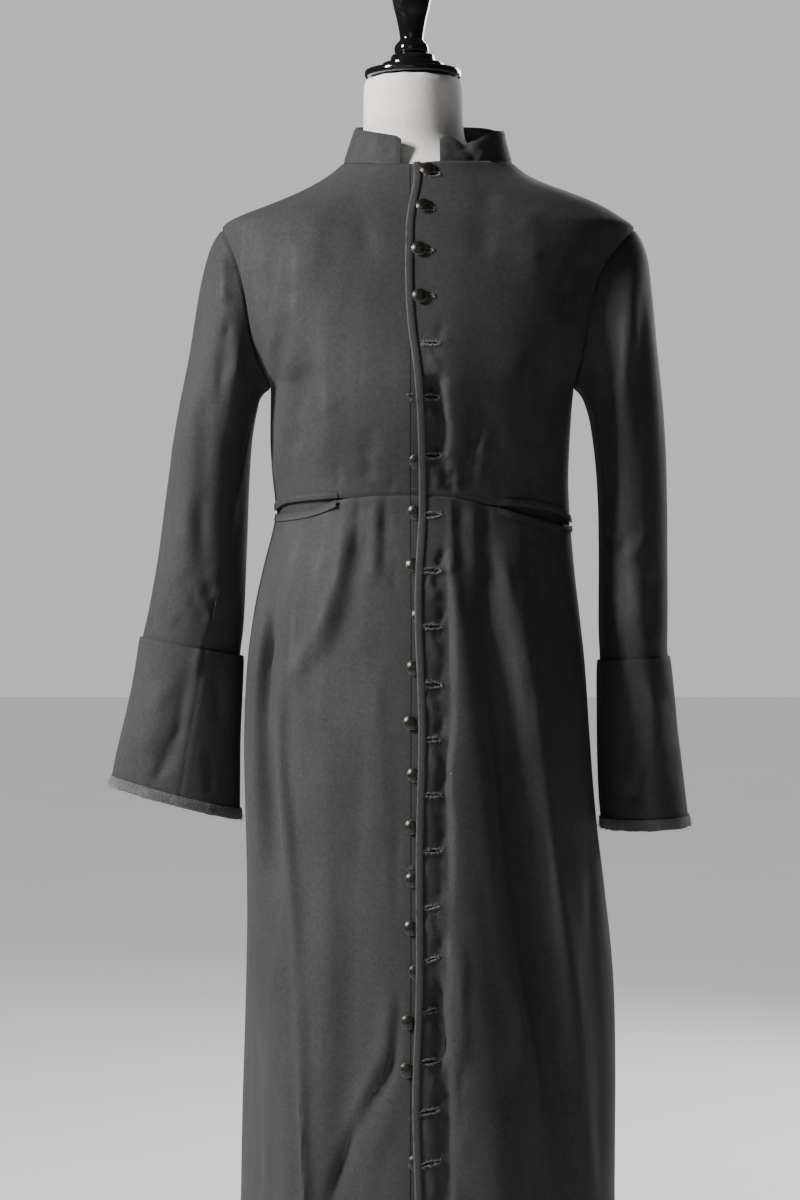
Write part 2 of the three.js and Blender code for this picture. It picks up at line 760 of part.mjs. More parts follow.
// The point of a panel's face at a place, with the way out there.
function panelPoint(panel, x, z) {
  const rows = panel.outer.map((line) => rowPoint(line, x));
  let j = 0;
  while (j < rows.length - 2 && rows[j + 1].z < z) j += 1;
  const point = rows[j].clone().lerp(rows[j + 1], (z - rows[j].z) / (rows[j + 1].z - rows[j].z));
  const up = rows[j + 1].clone().sub(rows[j]);
  const across = rowPoint(panel.outer[j], x + 5).sub(rowPoint(panel.outer[j], x - 5));
  if (across.x < 0) across.negate();
  return { point, out: across.cross(up).normalize() };
}

function addButton(number, x, z, panel) {
  const { point, out } = panelPoint(panel, x, z);
  const { positions, index } = turned(BUTTON_PROFILE, 10);
  const name = `button_${String(number).padStart(2, '0')}`;
  const mesh = addMesh(name, 0x3b342b, positions, index, 0.35, 0.8);
  mesh.position.copy(point.addScaledVector(out, SEAM + 0.05));
  mesh.quaternion.setFromUnitVectors(new THREE.Vector3(0, 0, 1), out);
}

BUTTONS_DONE_UP.forEach(([x, z], k) => addButton(k + 1, x, z, panels.front_left));
BUTTONS_OPEN.forEach(([x, z], k) => {
  const panel = z > WAIST_Z + 12 ? panels.front_right : panels.skirt_front_right;
  addButton(k + BUTTONS_DONE_UP.length + 1, x, z, panel);
});

// ---------- dress form and stand ----------
// The form fills the coat: close under it at the chest and shoulders, free of it below.
function underCoat(angle, z) {
  const [right, left, front, back] = [1, 2, 3, 4].map((column) => along(BODY, z, column));
  const [flatRight, flatLeft] = [1, 2].map((column) => along(FORM_SIDES, z, column));
  return sectionPoint(angle, z, Math.max(right, flatRight), Math.min(left, flatLeft), front, back);
}

function formPoint(angle, z) {
  const bodyZ = Math.min(z, 1572);
  const inside = mix(7, CLOTH + 0.9, smooth((bodyZ - 1240) / 90));
  const coat = underCoat(angle, bodyZ).addScaledVector(bodyOut(underCoat, angle, bodyZ), -inside);
  const [right, left, front, back] = [1, 2, 3, 4].map((column) => along(HIPS, z, column));
  const hips = sectionPoint(angle, z, right, left, front, back);
  const neck = new THREE.Vector3(
    NECK.x + NECK.radius * Math.sin(angle),
    -NECK.radius * Math.cos(angle),
    z,
  );
  const point = hips.lerp(coat, smooth((z - 1150) / 70));
  const rise = smooth((z - 1535) / 50);
  point.lerp(neck, rise);
  return point;
}

const FORM_ROWS = [
  860, 872, 920, 990, 1060, 1120, 1175, 1220, 1270, 1320, 1365, 1400, 1435, 1465, 1484,
  1498, 1512, 1526, 1540, 1552, 1564, 1576, 1590, 1641, 1649,
];
const FORM_COLUMNS = 28;
const formPositions = [];
const formIndex = [];
FORM_ROWS.forEach((z, row) => {
  const ease = row === 0 ? 0.94 : row === FORM_ROWS.length - 1 ? 0.95 : 1;
  for (let k = 0; k < FORM_COLUMNS; k += 1) {
    const point = formPoint((2 * Math.PI * k) / FORM_COLUMNS, z);
    const middle = row === 0 ? 0 : NECK.x;
    formPositions.push(middle + (point.x - middle) * ease, point.y * ease, point.z);
  }
});
formPositions.push(0, 0, FORM_FOOT_Z);
formPositions.push(NECK.x, 0, NECK.top);
const formFoot = FORM_ROWS.length * FORM_COLUMNS;
for (let k = 0; k < FORM_COLUMNS; k += 1) {
  const next = (k + 1) % FORM_COLUMNS;
  for (let row = 0; row < FORM_ROWS.length - 1; row += 1) {
    const [a, b] = [row * FORM_COLUMNS + k, row * FORM_COLUMNS + next];
    formIndex.push(a, b, b + FORM_COLUMNS);
    formIndex.push(a, b + FORM_COLUMNS, a + FORM_COLUMNS);
  }
  formIndex.push(formFoot, next, k);
  formIndex.push(formFoot + 1, formFoot - FORM_COLUMNS + k, formFoot - FORM_COLUMNS + next);
}
addMesh('form_torso', 0xe2ddd2, formPositions, formIndex);

function addTurned(name, colour, profile, sides, x, z, roughness, metalness) {
  const { positions, index } = turned(profile, sides);
  addMesh(name, colour, positions, index, roughness, metalness).position.set(x, 0, z);
}

const CAP_PROFILE = [
  [0, 0], [51.5, 0], [53, 1.5], [53, 6.5], [51, 8], [35, 8.6], [34, 15], [25, 16], [24, 24.5], [0, 24.5],
];
const FINIAL_PROFILE = [
  [0, 0], [16, 0], [18.5, 3], [19, 7], [17.5, 12], [13, 15.5], [13.5, 24], [17, 42],
  [21, 58], [23.5, 76], [24.5, 96], [22, 112], [15, 121], [0, 124],
];
addTurned('form_neck_cap', 0x0c0c0d, CAP_PROFILE, 24, NECK.x, NECK.top + SEAM, 0.2, 0);
addTurned('form_finial', 0x0c0c0d, FINIAL_PROFILE, 24, NECK.x - 1.5, NECK.top + 25.1, 0.2, 0);

const BASE_PROFILE = [[0, 0], [BASE_RADIUS, 0], [BASE_RADIUS, 9], [192, 17], [60, 23], [34, 26], [0, 26]];
const POLE_LENGTH = FORM_FOOT_Z - 26 - 2 * SEAM;
const POLE_PROFILE = [[0, 0], [POLE_RADIUS, 0], [POLE_RADIUS, POLE_LENGTH], [0, POLE_LENGTH]];
addTurned('stand_base', 0x161617, BASE_PROFILE, 32, 0, 0, 0.4, 0.4);
addTurned('stand_pole', 0x161617, POLE_PROFILE, 16, 0, 26 + SEAM, 0.4, 0.4);

export default group;
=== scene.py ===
import math
import random

import bmesh
import bpy
import numpy as np
from mathutils import Matrix, Vector, noise
from mathutils.bvhtree import BVHTree


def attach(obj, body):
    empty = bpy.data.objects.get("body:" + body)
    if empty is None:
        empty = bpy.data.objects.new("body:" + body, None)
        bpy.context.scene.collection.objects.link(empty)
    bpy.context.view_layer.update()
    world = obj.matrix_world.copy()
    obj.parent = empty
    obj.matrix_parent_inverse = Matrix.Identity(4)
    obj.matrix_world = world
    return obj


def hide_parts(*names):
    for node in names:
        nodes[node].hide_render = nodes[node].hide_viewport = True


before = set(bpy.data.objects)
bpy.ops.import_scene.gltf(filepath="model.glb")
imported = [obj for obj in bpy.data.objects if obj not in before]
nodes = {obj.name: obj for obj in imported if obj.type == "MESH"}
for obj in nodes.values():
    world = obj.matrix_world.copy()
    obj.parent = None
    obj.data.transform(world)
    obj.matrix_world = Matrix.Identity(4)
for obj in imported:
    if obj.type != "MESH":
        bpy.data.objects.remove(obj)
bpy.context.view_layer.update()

# ---------------------------------------------------------------- camera, floor and light
# The camera stands level with the waist. The floor is a pale painted board, the light a
# large soft window on the wearer's right with a little light thrown back from the room.
bpy.ops.object.select_all(action="DESELECT")
bpy.ops.object.camera_add(location=(-0.0308, -3.3, 1.075), rotation=(math.pi / 2, 0, 0))
camera = bpy.context.object
camera.name = "front_camera"
camera.data.lens = 90
camera.data.sensor_width = 36
bpy.context.scene.camera = camera


def soft_light(name, place, aim, size, power, colour):
    bpy.ops.object.light_add(type="AREA", location=place)
    lamp = bpy.context.object
    lamp.name = name
    lamp.data.shape = "RECTANGLE"
    lamp.data.size, lamp.data.size_y = size
    lamp.data.energy = power
    lamp.data.color = colour
    lamp.rotation_euler = (Vector(aim) - Vector(place)).to_track_quat("-Z", "Y").to_euler()


soft_light("window", (-2.75, -1.25, 2.85), (0, 0, 1.25), (0.6, 1.0), 245, (1, 0.985, 0.965))
soft_light("room_front", (-0.9, -4.2, 2.2), (0, 0, 1.0), (2.0, 2.0), 6, (0.94, 0.97, 1))
soft_light("room_back", (1.9, 3.3, 2.5), (0, 0, 1.0), (2.4, 2.0), 125, (0.95, 0.97, 1))


def put_in(tree, node, values):
    """Sets each named socket or setting of a node, or joins the socket to another's output."""
    for name, value in values.items():
        if hasattr(value, "is_output"):
            tree.links.new(value, node.inputs[name])
        elif isinstance(name, int) or name in node.inputs:
            node.inputs[name].default_value = value
        else:
            setattr(node, name, value)
    return node


def add_node(tree, kind, **values):
    return put_in(tree, tree.nodes.new("ShaderNode" + kind), values)


def sum_of(tree, operation, *values):
    """One Math node; each value is a number or another node's output."""
    return put_in(tree, add_node(tree, "Math", operation=operation), dict(enumerate(values))).outputs[0]


def times(tree, first, second):
    return sum_of(tree, "MULTIPLY", first, second)


def plus(tree, first, *others):
    for other in others:
        first = sum_of(tree, "ADD", first, other)
    return first


def ramp(tree, value, low, high, out_low=0.0, out_high=1.0):
    """A smooth step from one value to the other."""
    return add_node(tree, "MapRange", interpolation_type="SMOOTHSTEP", Value=value, **{
        "From Min": low, "From Max": high, "To Min": out_low, "To Max": out_high}).outputs["Result"]


def mixed(tree, share, first, second, blend="MIX"):
    """One colour mix; each of the three may be a colour, a number or another node's output."""
    share, first, second = (
        (*value, 1) if isinstance(value, tuple) else value for value in (share, first, second)
    )
    node = add_node(tree, "Mix", data_type="RGBA", blend_type=blend)
    return put_in(tree, node, {0: share, 6: first, 7: second}).outputs[2]


def texture(tree, kind, **settings):
    """A noise or wave texture that lies in the piece's own coordinates."""
    place = add_node(tree, "TexCoord").outputs["Object"]
    return add_node(tree, "Tex" + kind, Vector=place, **settings).outputs["Fac"]


def parts_of(tree, vector):
    return add_node(tree, "SeparateXYZ", Vector=vector).outputs


def new_material(name):
    """A material, with its tree of nodes and its shader."""
    material = bpy.data.materials.new(name)
    material.use_nodes = True
    return material, material.node_tree, material.node_tree.nodes["Principled BSDF"]


def raised(tree, shader, height, strength, distance):
    """The finest relief, too small for the mesh; distance is in metres."""
    bump = add_node(tree, "Bump", Height=height, Strength=strength, Distance=distance)
    tree.links.new(bump.outputs["Normal"], shader.inputs["Normal"])


world = bpy.data.worlds.new("pale_room")
world.use_nodes = True
tree = world.node_tree
seen_straight = add_node(tree, "LightPath").outputs["Is Camera Ray"]
strength = add_node(tree, "MapRange", Value=seen_straight, **{"To Min": 0.055, "To Max": 0.72})
put_in(tree, tree.nodes["Background"], {
    "Color": (0.86, 0.87, 0.89, 1), "Strength": strength.outputs["Result"]})
bpy.context.scene.world = world

floor_paint, tree, shader = new_material("pale_floor_paint")
cloudy = texture(tree, "Noise", Scale=1.3, Detail=4.0)
tint = mixed(tree, cloudy, (0.70, 0.70, 0.705), (0.75, 0.75, 0.75))
seen_straight = add_node(tree, "LightPath").outputs["Is Camera Ray"]
put_in(tree, shader, {"Base Color": tint, "Roughness": 0.85, "Emission Color": tint,
                      "Emission Strength": times(tree, seen_straight, 0.62)})
bpy.ops.mesh.primitive_plane_add(size=60, location=(0, 0, 0))
floor = bpy.context.object
floor.name = "floor"
floor.data.materials.append(floor_paint)

# ---------------------------------------------------------------- stand
# A turned iron base and its pole, painted black and rubbed at the edges. The pole drops
# into the base and goes up into the form.
ROUND = 72
TOUCHING = 0.00001


def turned(name, profile, centre, sides=ROUND):
    """Raises a disc ring by ring, as on a lathe; profile holds (radius, height) in mm."""
    bpy.ops.object.select_all(action="DESELECT")
    x, y, z = centre
    radius = max(profile[0][0], 0.3) / 1000
    bpy.ops.mesh.primitive_circle_add(
        vertices=sides, radius=radius, fill_type="NGON", location=(x, y, z + profile[0][1] / 1000)
    )
    piece = bpy.context.object
    piece.name = name
    bpy.ops.object.mode_set(mode="EDIT")
    bpy.ops.mesh.select_all(action="SELECT")
    here = z + profile[0][1] / 1000
    for wide, high in profile[1:]:
        wide = max(wide, 0.3) / 1000
        rise = z + high / 1000 - here
        bpy.ops.mesh.extrude_region_move(TRANSFORM_OT_translate={"value": (0, 0, rise)})
        here += rise
        grow = wide / radius
        bpy.ops.transform.resize(value=(grow, grow, 1), center_override=(x, y, here))
        radius = wide
    bpy.ops.mesh.select_all(action="SELECT")
    bpy.ops.mesh.remove_doubles(threshold=TOUCHING)
    bpy.ops.mesh.normals_make_consistent(inside=False)
    bpy.ops.object.mode_set(mode="OBJECT")
    bpy.ops.object.transform_apply(location=True, rotation=True, scale=True)
    bpy.ops.object.shade_smooth_by_angle(angle=math.radians(32))
    return piece


def curve_through(line, steps):
    """A smooth line through the given points."""
    line = [line[0], *line, line[-1]]
    points = [
        [0.5 * (2 * q + (r - p) * t + (2 * p - 5 * q + 4 * r - s) * t * t
                + (3 * q - p - 3 * r + s) * t ** 3) for p, q, r, s in zip(a, b, c, d)]
        for a, b, c, d in zip(line, line[1:], line[2:], line[3:])
        for t in (step / steps for step in range(steps))
    ]
    return np.array([*points, list(line[-1])], dtype=float)


def finished(piece, material, slot, *replaced):
    """Gives a piece its material and its body, and hides the solids that it stands for; slot is not used.
    """
    piece.data.materials.clear()
    piece.data.materials.append(material)
    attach(piece, "root")
    if replaced:
        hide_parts(*replaced)


stand_paint, tree, shader = new_material("black_stand_paint")
grain = texture(tree, "Noise", Scale=180.0, Detail=3.0)
rubbed = texture(tree, "Noise", Scale=9.0, Detail=5.0, Roughness=0.7)
wear = ramp(tree, rubbed, 0.6, 0.74)
put_in(tree, shader, {"Base Color": mixed(tree, wear, (0.012, 0.012, 0.013), (0.05, 0.047, 0.044)),
                      "Roughness": ramp(tree, wear, 0, 1, 0.32, 0.5)})
raised(tree, shader, grain, 0.2, 0.0004)

BASE = [(0, 0), (201, 0), (204, 1), (205, 3), (205, 7), (203.5, 9.5), (199, 12.5), (192, 16.5),
        (182, 18), (120, 21), (62, 22.6), (46, 23.4), (38, 24.6), (34, 26), (0, 26)]
base = turned("round_base", BASE, (0, 0, 0), 96)
finished(base, stand_paint, "stand_metal", "stand_base")
POLE = [(0, 26.3), (15.4, 26.3), (16, 27), (16, 858.5), (15.4, 859.4), (0, 859.4)]
pole = turned("straight_pole", POLE, (0, 0, 0), 48)
finished(pole, stand_paint, "stand_metal", "stand_pole")

# ---------------------------------------------------------------- dress form
# A padded form covered in cream cotton drawn smooth over it, with a long plain neck. The
# cover shows only at the neck; under the coat it lies just inside the cloth.


def select_only(piece):
    bpy.ops.object.select_all(action="DESELECT")
    piece.select_set(True)
    bpy.context.view_layer.objects.active = piece


def placed(name, mesh):
    piece = bpy.data.objects.new(name, mesh)
    bpy.context.scene.collection.objects.link(piece)
    return piece


def merged_copy(node, name):
    """A piece on a solid's form: the solid's own mesh, with its loose triangles joined."""
    piece = placed(name, nodes[node].data.copy())
    select_only(piece)
    bpy.ops.object.mode_set(mode="EDIT")
    bpy.ops.mesh.select_all(action="SELECT")
    bpy.ops.mesh.remove_doubles(threshold=TOUCHING)
    bpy.ops.mesh.tris_convert_to_quads(face_threshold=math.pi, shape_threshold=math.pi)
    bpy.ops.object.mode_set(mode="OBJECT")
    return piece


def subdivided(piece, levels):
    finer = piece.modifiers.new("finer", "SUBSURF")
    finer.levels = finer.render_levels = levels
    finer.boundary_smooth = "PRESERVE_CORNERS"
    select_only(piece)
    bpy.ops.object.modifier_apply(modifier="finer")


def points_of(piece, what="co"):
    flat = np.empty(len(piece.data.vertices) * 3)
    piece.data.vertices.foreach_get(what, flat)
    return flat.reshape(-1, 3)


def normals_of(piece):
    return points_of(piece, "normal")


def move_points(piece, points):
    piece.data.vertices.foreach_set("co", np.ascontiguousarray(points).ravel())
    piece.data.update()


def pushed_out(piece, heights):
    """Moves each point out along its normal by its own height in mm."""
    move_points(piece, points_of(piece) + normals_of(piece) * (heights / 1000)[:, None])


def step_up(values):
    """0 below 0, 1 above 1 and a smooth rise between them."""
    held = np.clip(values, 0, 1)
    return held * held * (3 - 2 * held)


COVERED_Z, FOOT_Z, TUCKED_IN = 1.556, 0.87, 4.5
form = merged_copy("form_torso", "covered_form")
subdivided(form, 2)
points = points_of(form)
hidden = step_up((COVERED_Z - points[:, 2]) / 0.028) * step_up((points[:, 2] - FOOT_Z) / 0.02)
pushed_out(form, hidden * -TUCKED_IN)
bpy.ops.object.shade_smooth_by_angle(angle=math.radians(50))

form_cotton, tree, shader = new_material("cream_form_cotton")
warp = texture(tree, "Wave", Scale=330.0, Distortion=1.2)
weft = texture(tree, "Wave", Scale=330.0, Distortion=1.2, bands_direction="Z")
slubs = texture(tree, "Noise", Scale=260.0, Detail=4.0)
grey_patches = texture(tree, "Noise", Scale=16.0, Detail=6.0, Roughness=0.65)
place = add_node(tree, "TexCoord").outputs["Object"]
# the cotton turns greyer in patches towards the collar
near_collar = ramp(tree, parts_of(tree, place)["Z"], 1.62, 1.585)
grey = times(tree, near_collar, ramp(tree, grey_patches, 0.35, 0.75))
clean = mixed(tree, ramp(tree, slubs, 0.3, 0.7), (0.84, 0.81, 0.76), (0.92, 0.9, 0.86))
put_in(tree, shader, {"Base Color": mixed(tree, times(tree, grey, 0.45), clean, (0.5, 0.46, 0.4)),
                      "Roughness": 0.88, "Sheen Weight": 0.15})
raised(tree, shader, plus(tree, warp, weft, times(tree, slubs, 1.6)), 0.25, 0.0003)
finished(form, form_cotton, "form_cloth", "form_torso")

# ---------------------------------------------------------------- neck cap and finial
# Both are turned in wood and lacquered black until they shine like glass. The cap is
# screwed down on the neck and the finial stands in the middle of it.
NECK_X, NECK_TOP = -0.0165, 1.6493
CAP = [(0, 0), (50.6, 0), (52.2, 0.5), (53, 1.9), (53, 6.0), (52.2, 7.4), (50.6, 8), (46, 8.1),
       (37, 8.4), (35.4, 9.0), (34.6, 11), (34, 14.4), (32.8, 15.4), (27, 16), (25.6, 16.8),
       (24.8, 19), (24, 23.2), (23, 24.3), (0, 24.3)]
FINIAL = [(0, 0), (15.2, 0), (17.2, 1.2), (18.7, 3.6), (19, 7), (18.2, 10.4), (15.6, 13.6),
          (13.2, 16.6), (13, 20), (13.6, 24.6), (15.1, 33), (17, 42), (19.2, 50), (21.1, 59),
          (22.7, 68), (23.8, 77), (24.4, 87), (24.5, 96), (23.8, 105), (21.6, 112.6),
          (18.4, 118), (13, 122), (6.5, 123.8), (0, 124)]

lacquer, tree, shader = new_material("black_wood_lacquer")
brushed = texture(tree, "Noise", Scale=55.0, Detail=3.0)
scuffs = texture(tree, "Noise", Scale=24.0, Detail=7.0, Roughness=0.75)
dull = ramp(tree, scuffs, 0.56, 0.72)
put_in(tree, shader, {"Base Color": mixed(tree, dull, (0.006, 0.006, 0.007), (0.02, 0.019, 0.018)),
                      "Roughness": ramp(tree, dull, 0, 1, 0.09, 0.3),
                      "Coat Weight": 0.6, "Coat Roughness": 0.05})
raised(tree, shader, brushed, 0.08, 0.0004)

cap = turned("lacquered_neck_cap", CAP, (NECK_X, 0, NECK_TOP), 96)
finished(cap, lacquer, "form_wood", "form_neck_cap")
finial = turned("lacquered_finial", curve_through(FINIAL, 3), (NECK_X - 0.0015, 0, NECK_TOP + 0.0248))
finished(finial, lacquer, "form_wood", "form_finial")

# ---------------------------------------------------------------- the two halves of the back
# Charcoal wool twill, cut in two and sewn down the middle. They hang from the shoulders
# and are pulled in by the waist seam, so soft folds run up and down from it.


def merged_shape(node):
    shape = bmesh.new()
    shape.from_mesh(nodes[node].data)
    bmesh.ops.remove_doubles(shape, verts=shape.verts, dist=TOUCHING)
    shape.normal_update()
    return shape


def smooth_patches(shape, turn):
    """The faces of a shape in groups that no edge sharper than turn, in degrees, divides; the
    largest group comes first."""
    patches, known = [], set()
    for face in shape.faces:
        if face in known:
            continue
        known.add(face)
        patch, waiting = [], [face]
        while waiting:
            here = waiting.pop()
            patch.append(here)
            for edge in here.edges:
                if edge.calc_face_angle(4) > math.radians(turn):
                    continue
                for other in edge.link_faces:
                    if other not in known:
                        known.add(other)
                        waiting.append(other)
        patches.append(patch)
    patches.sort(key=lambda found: -sum(face.calc_area() for face in found))
    return patches


def rim_of(faces):
    """The points on the rim of some faces, each with its neighbours along the rim."""
    sides, rim = {}, {}
    for face in faces:
        for edge in face.edges:
            sides[edge] = sides.get(edge, 0) + 1
    for edge, count in sides.items():
        if count == 1:
            for vert in edge.verts:
                rim.setdefault(vert, []).append(edge.other_vert(vert))
    return rim


def rim_places(rim, columns, rows):
    """Lays a rim out as a rectangle of cells, with its corners on the rim's sharpest turns.
    Gives each rim point its (column, row), and the size of the rectangle."""
    loop = [next(iter(rim))]
    loop.append(rim[loop[0]][0])
    while len(loop) < len(rim):
        loop.append(next(v for v in rim[loop[-1]] if v is not loop[-2]))
    total = len(loop)

    def turning(k):
        before = (loop[k].co - loop[k - 1].co).normalized()
        return before.angle((loop[(k + 1) % total].co - loop[k].co).normalized())

    turns = [turning(k) for k in range(total)]
    start, first, second = max(
        ((k, a, b) for k in range(total) for a, b in ((columns, rows), (rows, columns))),
        key=lambda t: sum(turns[(t[0] + s) % total] for s in (0, t[1], t[1] + t[2], 2 * t[1] + t[2])),
    )
    rim_cells = [(k, 0) for k in range(first)] + [(first, k) for k in range(second)]
    rim_cells += [(first - k, second) for k in range(first)] + [(0, second - k) for k in range(second)]
    return {loop[(start + k) % total]: cell for k, cell in enumerate(rim_cells)}, first, second


def inner_places(faces, fixed):
    """The (column, row) of each point inside the rim, which lies midway between its neighbours."""
    links = {}
    for face in faces:
        for vert in face.verts:
            links.setdefault(vert, set()).update(set(face.verts) - {vert})
    free = [vert for vert in links if vert not in fixed]
    number = {vert: k for k, vert in enumerate(free)}
    pull, aim = np.zeros((len(free), len(free))), np.zeros((len(free), 2))
    for vert, k in number.items():
        pull[k, k] = len(links[vert])
        for other in links[vert]:
            if other in number:
                pull[k, number[other]] -= 1
            else:
                aim[k] += fixed[other]
    return dict(zip(free, np.rint(np.linalg.solve(pull, aim)).astype(int))) if free else {}


def outer_cells(node, columns, rows):
    """The outer face of a cloth solid as rows of points in metres, from the bottom up."""
    shape = merged_shape(node)
    for turn in (40, 60, 75):
        patches = smooth_patches(shape, turn)
        lining = {vert for face in patches[1] for vert in face.verts}
        outer = [face for face in patches[0] if not lining & set(face.verts)]
        if len(outer) == 2 * columns * rows:
            break
    fixed, first, second = rim_places(rim_of(outer), columns, rows)
    cells = np.full((second + 1, first + 1, 3), np.nan)
    for vert, (i, j) in {**fixed, **inner_places(outer, fixed)}.items():
        cells[j, i] = vert.co
    rise_up = abs(cells[-1, :, 2].mean() - cells[0, :, 2].mean())
    rise_over = abs(cells[:, -1, 2].mean() - cells[:, 0, 2].mean())
    if first != columns or (rows == columns and rise_over > rise_up):
        cells = cells.transpose(1, 0, 2)
    if cells[-1, :, 2].mean() < cells[0, :, 2].mean():
        cells = cells[::-1]
    j, i = rows // 2, columns // 2
    facing = min(outer, key=lambda face: (face.calc_center_median() - Vector(cells[j, i])).length)
    across = Vector(cells[j, min(i + 1, columns)] - cells[j, max(i - 1, 0)])
    up = Vector(cells[min(j + 1, rows), i] - cells[max(j - 1, 0), i])
    if across.cross(up).dot(facing.normal) < 0:
        cells = cells[:, ::-1]
    shape.free()
    if np.isnan(cells).any():
        raise ValueError(f"{node}: its outer face isn't {columns} by {rows} cells")
    return cells


cut_size = {}


def cut_sheet(name, cells, levels=3, from_end=False):
    """A sheet through those points, made finer, with its flat place in metres as its UV map.
    A second map keeps each point's share of the way across and up until it is finished."""
    rows, columns = cells.shape[0] - 1, cells.shape[1] - 1
    mesh = bpy.data.meshes.new(name)
    faces = [
        (j * (columns + 1) + i, j * (columns + 1) + i + 1,
         (j + 1) * (columns + 1) + i + 1, (j + 1) * (columns + 1) + i)
        for j in range(rows) for i in range(columns)
    ]
    mesh.from_pydata(cells.reshape(-1, 3).tolist(), [], faces)
    run = np.zeros(cells.shape[:2])
    run[:, 1:] = np.cumsum(np.linalg.norm(np.diff(cells, axis=1), axis=2), axis=1)
    rise = np.zeros(cells.shape[:2])
    rise[1:] = np.cumsum(np.linalg.norm(np.diff(cells, axis=0), axis=2), axis=0)
    flat_u = run - run[:, -1:] if from_end else run - run[:, :1]
    cut, share = mesh.uv_layers.new(name="cut"), mesh.uv_layers.new(name="share")
    for loop in mesh.loops:
        j, i = divmod(loop.vertex_index, columns + 1)
        cut.data[loop.index].uv = (flat_u[j, i], rise[j].mean())
        share.data[loop.index].uv = (i / columns, j / rows)
    piece = placed(name, mesh)
    subdivided(piece, levels)
    cut_size[name] = (run[:, -1], rise[-1])
    return piece


def share_of(piece):
    """Each point's share of the way across and up."""
    flat = np.empty(len(piece.data.loops) * 2)
    piece.data.uv_layers["share"].data.foreach_get("uv", flat)
    corner = np.empty(len(piece.data.loops), dtype=int)
    piece.data.loops.foreach_get("vertex_index", corner)
    share = np.empty((len(piece.data.vertices), 2))
    share[corner] = flat.reshape(-1, 2)
    return share


def grid_of(piece):
    """The number of each point of a sheet, in rows from the bottom up."""
    share = share_of(piece)
    across, up = (len(np.unique(np.rint(share[:, k] * 4096))) for k in (0, 1))
    where = np.rint(share * (across - 1, up - 1)).astype(int)
    grid = np.empty((up, across), dtype=int)
    grid[where[:, 1], where[:, 0]] = np.arange(len(share))
    return grid


def from_edge(piece, edge):
    """How far each point lies from one edge of the sheet, in mm along the cloth."""
    share = share_of(piece)
    widths, heights = cut_size[piece.name]
    if edge in ("start", "end"):
        whole = np.interp(share[:, 1], np.linspace(0, 1, len(widths)), widths)
        part = share[:, 0] if edge == "start" else 1 - share[:, 0]
    else:
        whole = np.interp(share[:, 0], np.linspace(0, 1, len(heights)), heights)
        part = share[:, 1] if edge == "bottom" else 1 - share[:, 1]
    return whole * part * 1000


def sunk_seams(piece, *edges, depth=0.8, reach=4.5, allowance=0.5):
    """Turns the cloth down into its seams along the named edges, where a little of it runs on
    into the seam, so that the two sides meet."""
    points, normals, grid = points_of(piece), normals_of(piece), grid_of(piece)
    sink, onward = np.zeros(len(points)), np.zeros((len(points), 3))
    for edge in edges:
        down = 1 - step_up(from_edge(piece, edge) / reach)
        sink = np.maximum(sink, down * depth / 1000)
        rim, inner = {"start": (grid[:, 0], grid[:, 1]), "end": (grid[:, -1], grid[:, -2]),
                      "bottom": (grid[0], grid[1]), "top": (grid[-1], grid[-2])}[edge]
        way = points[rim] - points[inner]
        onward[rim] += way / np.linalg.norm(way, axis=1)[:, None] * allowance / 1000
    move_points(piece, points - normals * sink[:, None] + onward)


SIDES = {"front": ((0, -1, 0), 0, 1), "back": ((0, 1, 0), 0, -1),
         "right": ((-1, 0, 0), 1, -1), "left": ((1, 0, 0), 1, 1)}


def crease(piece, side, creases, keep):
    """Lays creases in the cloth, as seen from one side of the coat. Each is a line of points
    (across, height) in mm, its half widths before and after it, and how high it stands;
    a trough has a negative height. It dies out at its ends and wanders a little in between. keep
    is the share of the creases that each point takes."""
    facing, axis, way = SIDES[side]
    chance = random.Random(piece.name + side)
    points = points_of(piece)
    seen = step_up((normals_of(piece) @ np.array(facing) + 0.05) / 0.35)
    place = np.stack([points[:, axis] * way, points[:, 2]], axis=1) * 1000
    lift = np.zeros(len(points))
    for line, before, after, height in creases:
        path = curve_through([(x * way, z) for x, z in line], 7)
        spans = np.diff(path, axis=0)
        lengths = np.maximum(np.linalg.norm(spans, axis=1), 1e-6)
        runs = np.concatenate([[0], np.cumsum(lengths)])
        nearest = np.full(len(points), 1e9)
        where = np.zeros(len(points))
        off_side = np.zeros(len(points))
        for k, (span, length) in enumerate(zip(spans, lengths)):
            away = place - path[k]
            t = np.clip(away @ span / length ** 2, 0, 1)
            gap = away - t[:, None] * span
            distance = np.hypot(gap[:, 0], gap[:, 1])
            closer = distance < nearest
            nearest = np.where(closer, distance, nearest)
            where = np.where(closer, (runs[k] + t * length) / runs[-1], where)
            turn = span[0] * away[:, 1] - span[1] * away[:, 0]
            off_side = np.where(closer, turn, off_side)
        shift, pace = chance.uniform(0, 6), chance.uniform(2.2, 4.4)
        waver = 1 + 0.2 * np.sin(where * pace * 3 + shift) + 0.1 * np.sin(where * pace * 7 + 2 * shift)
        wide = np.where(off_side > 0, before, after) * waver
        ends = step_up(where / 0.24) * step_up((1 - where) / 0.24)
        depth = height * (1 - 0.22 * np.sin(where * pace * 4 + 3 * shift))
        lift += depth * ends * np.exp(-((nearest / wide) ** 2))
    pushed_out(piece, lift * seen * keep)


def noise_at(*place):
    return noise.noise(Vector(place))


def soft_ripple(piece, amount, keep):
    """The slight unevenness of pressed wool that has been worn."""
    wave = np.array([
        noise_at(x * 13, y * 13, z * 8) + 0.45 * noise_at(x * 37, y * 37, z * 24)
        for x, y, z in points_of(piece)
    ])
    pushed_out(piece, wave * keep * amount)


laid = {}


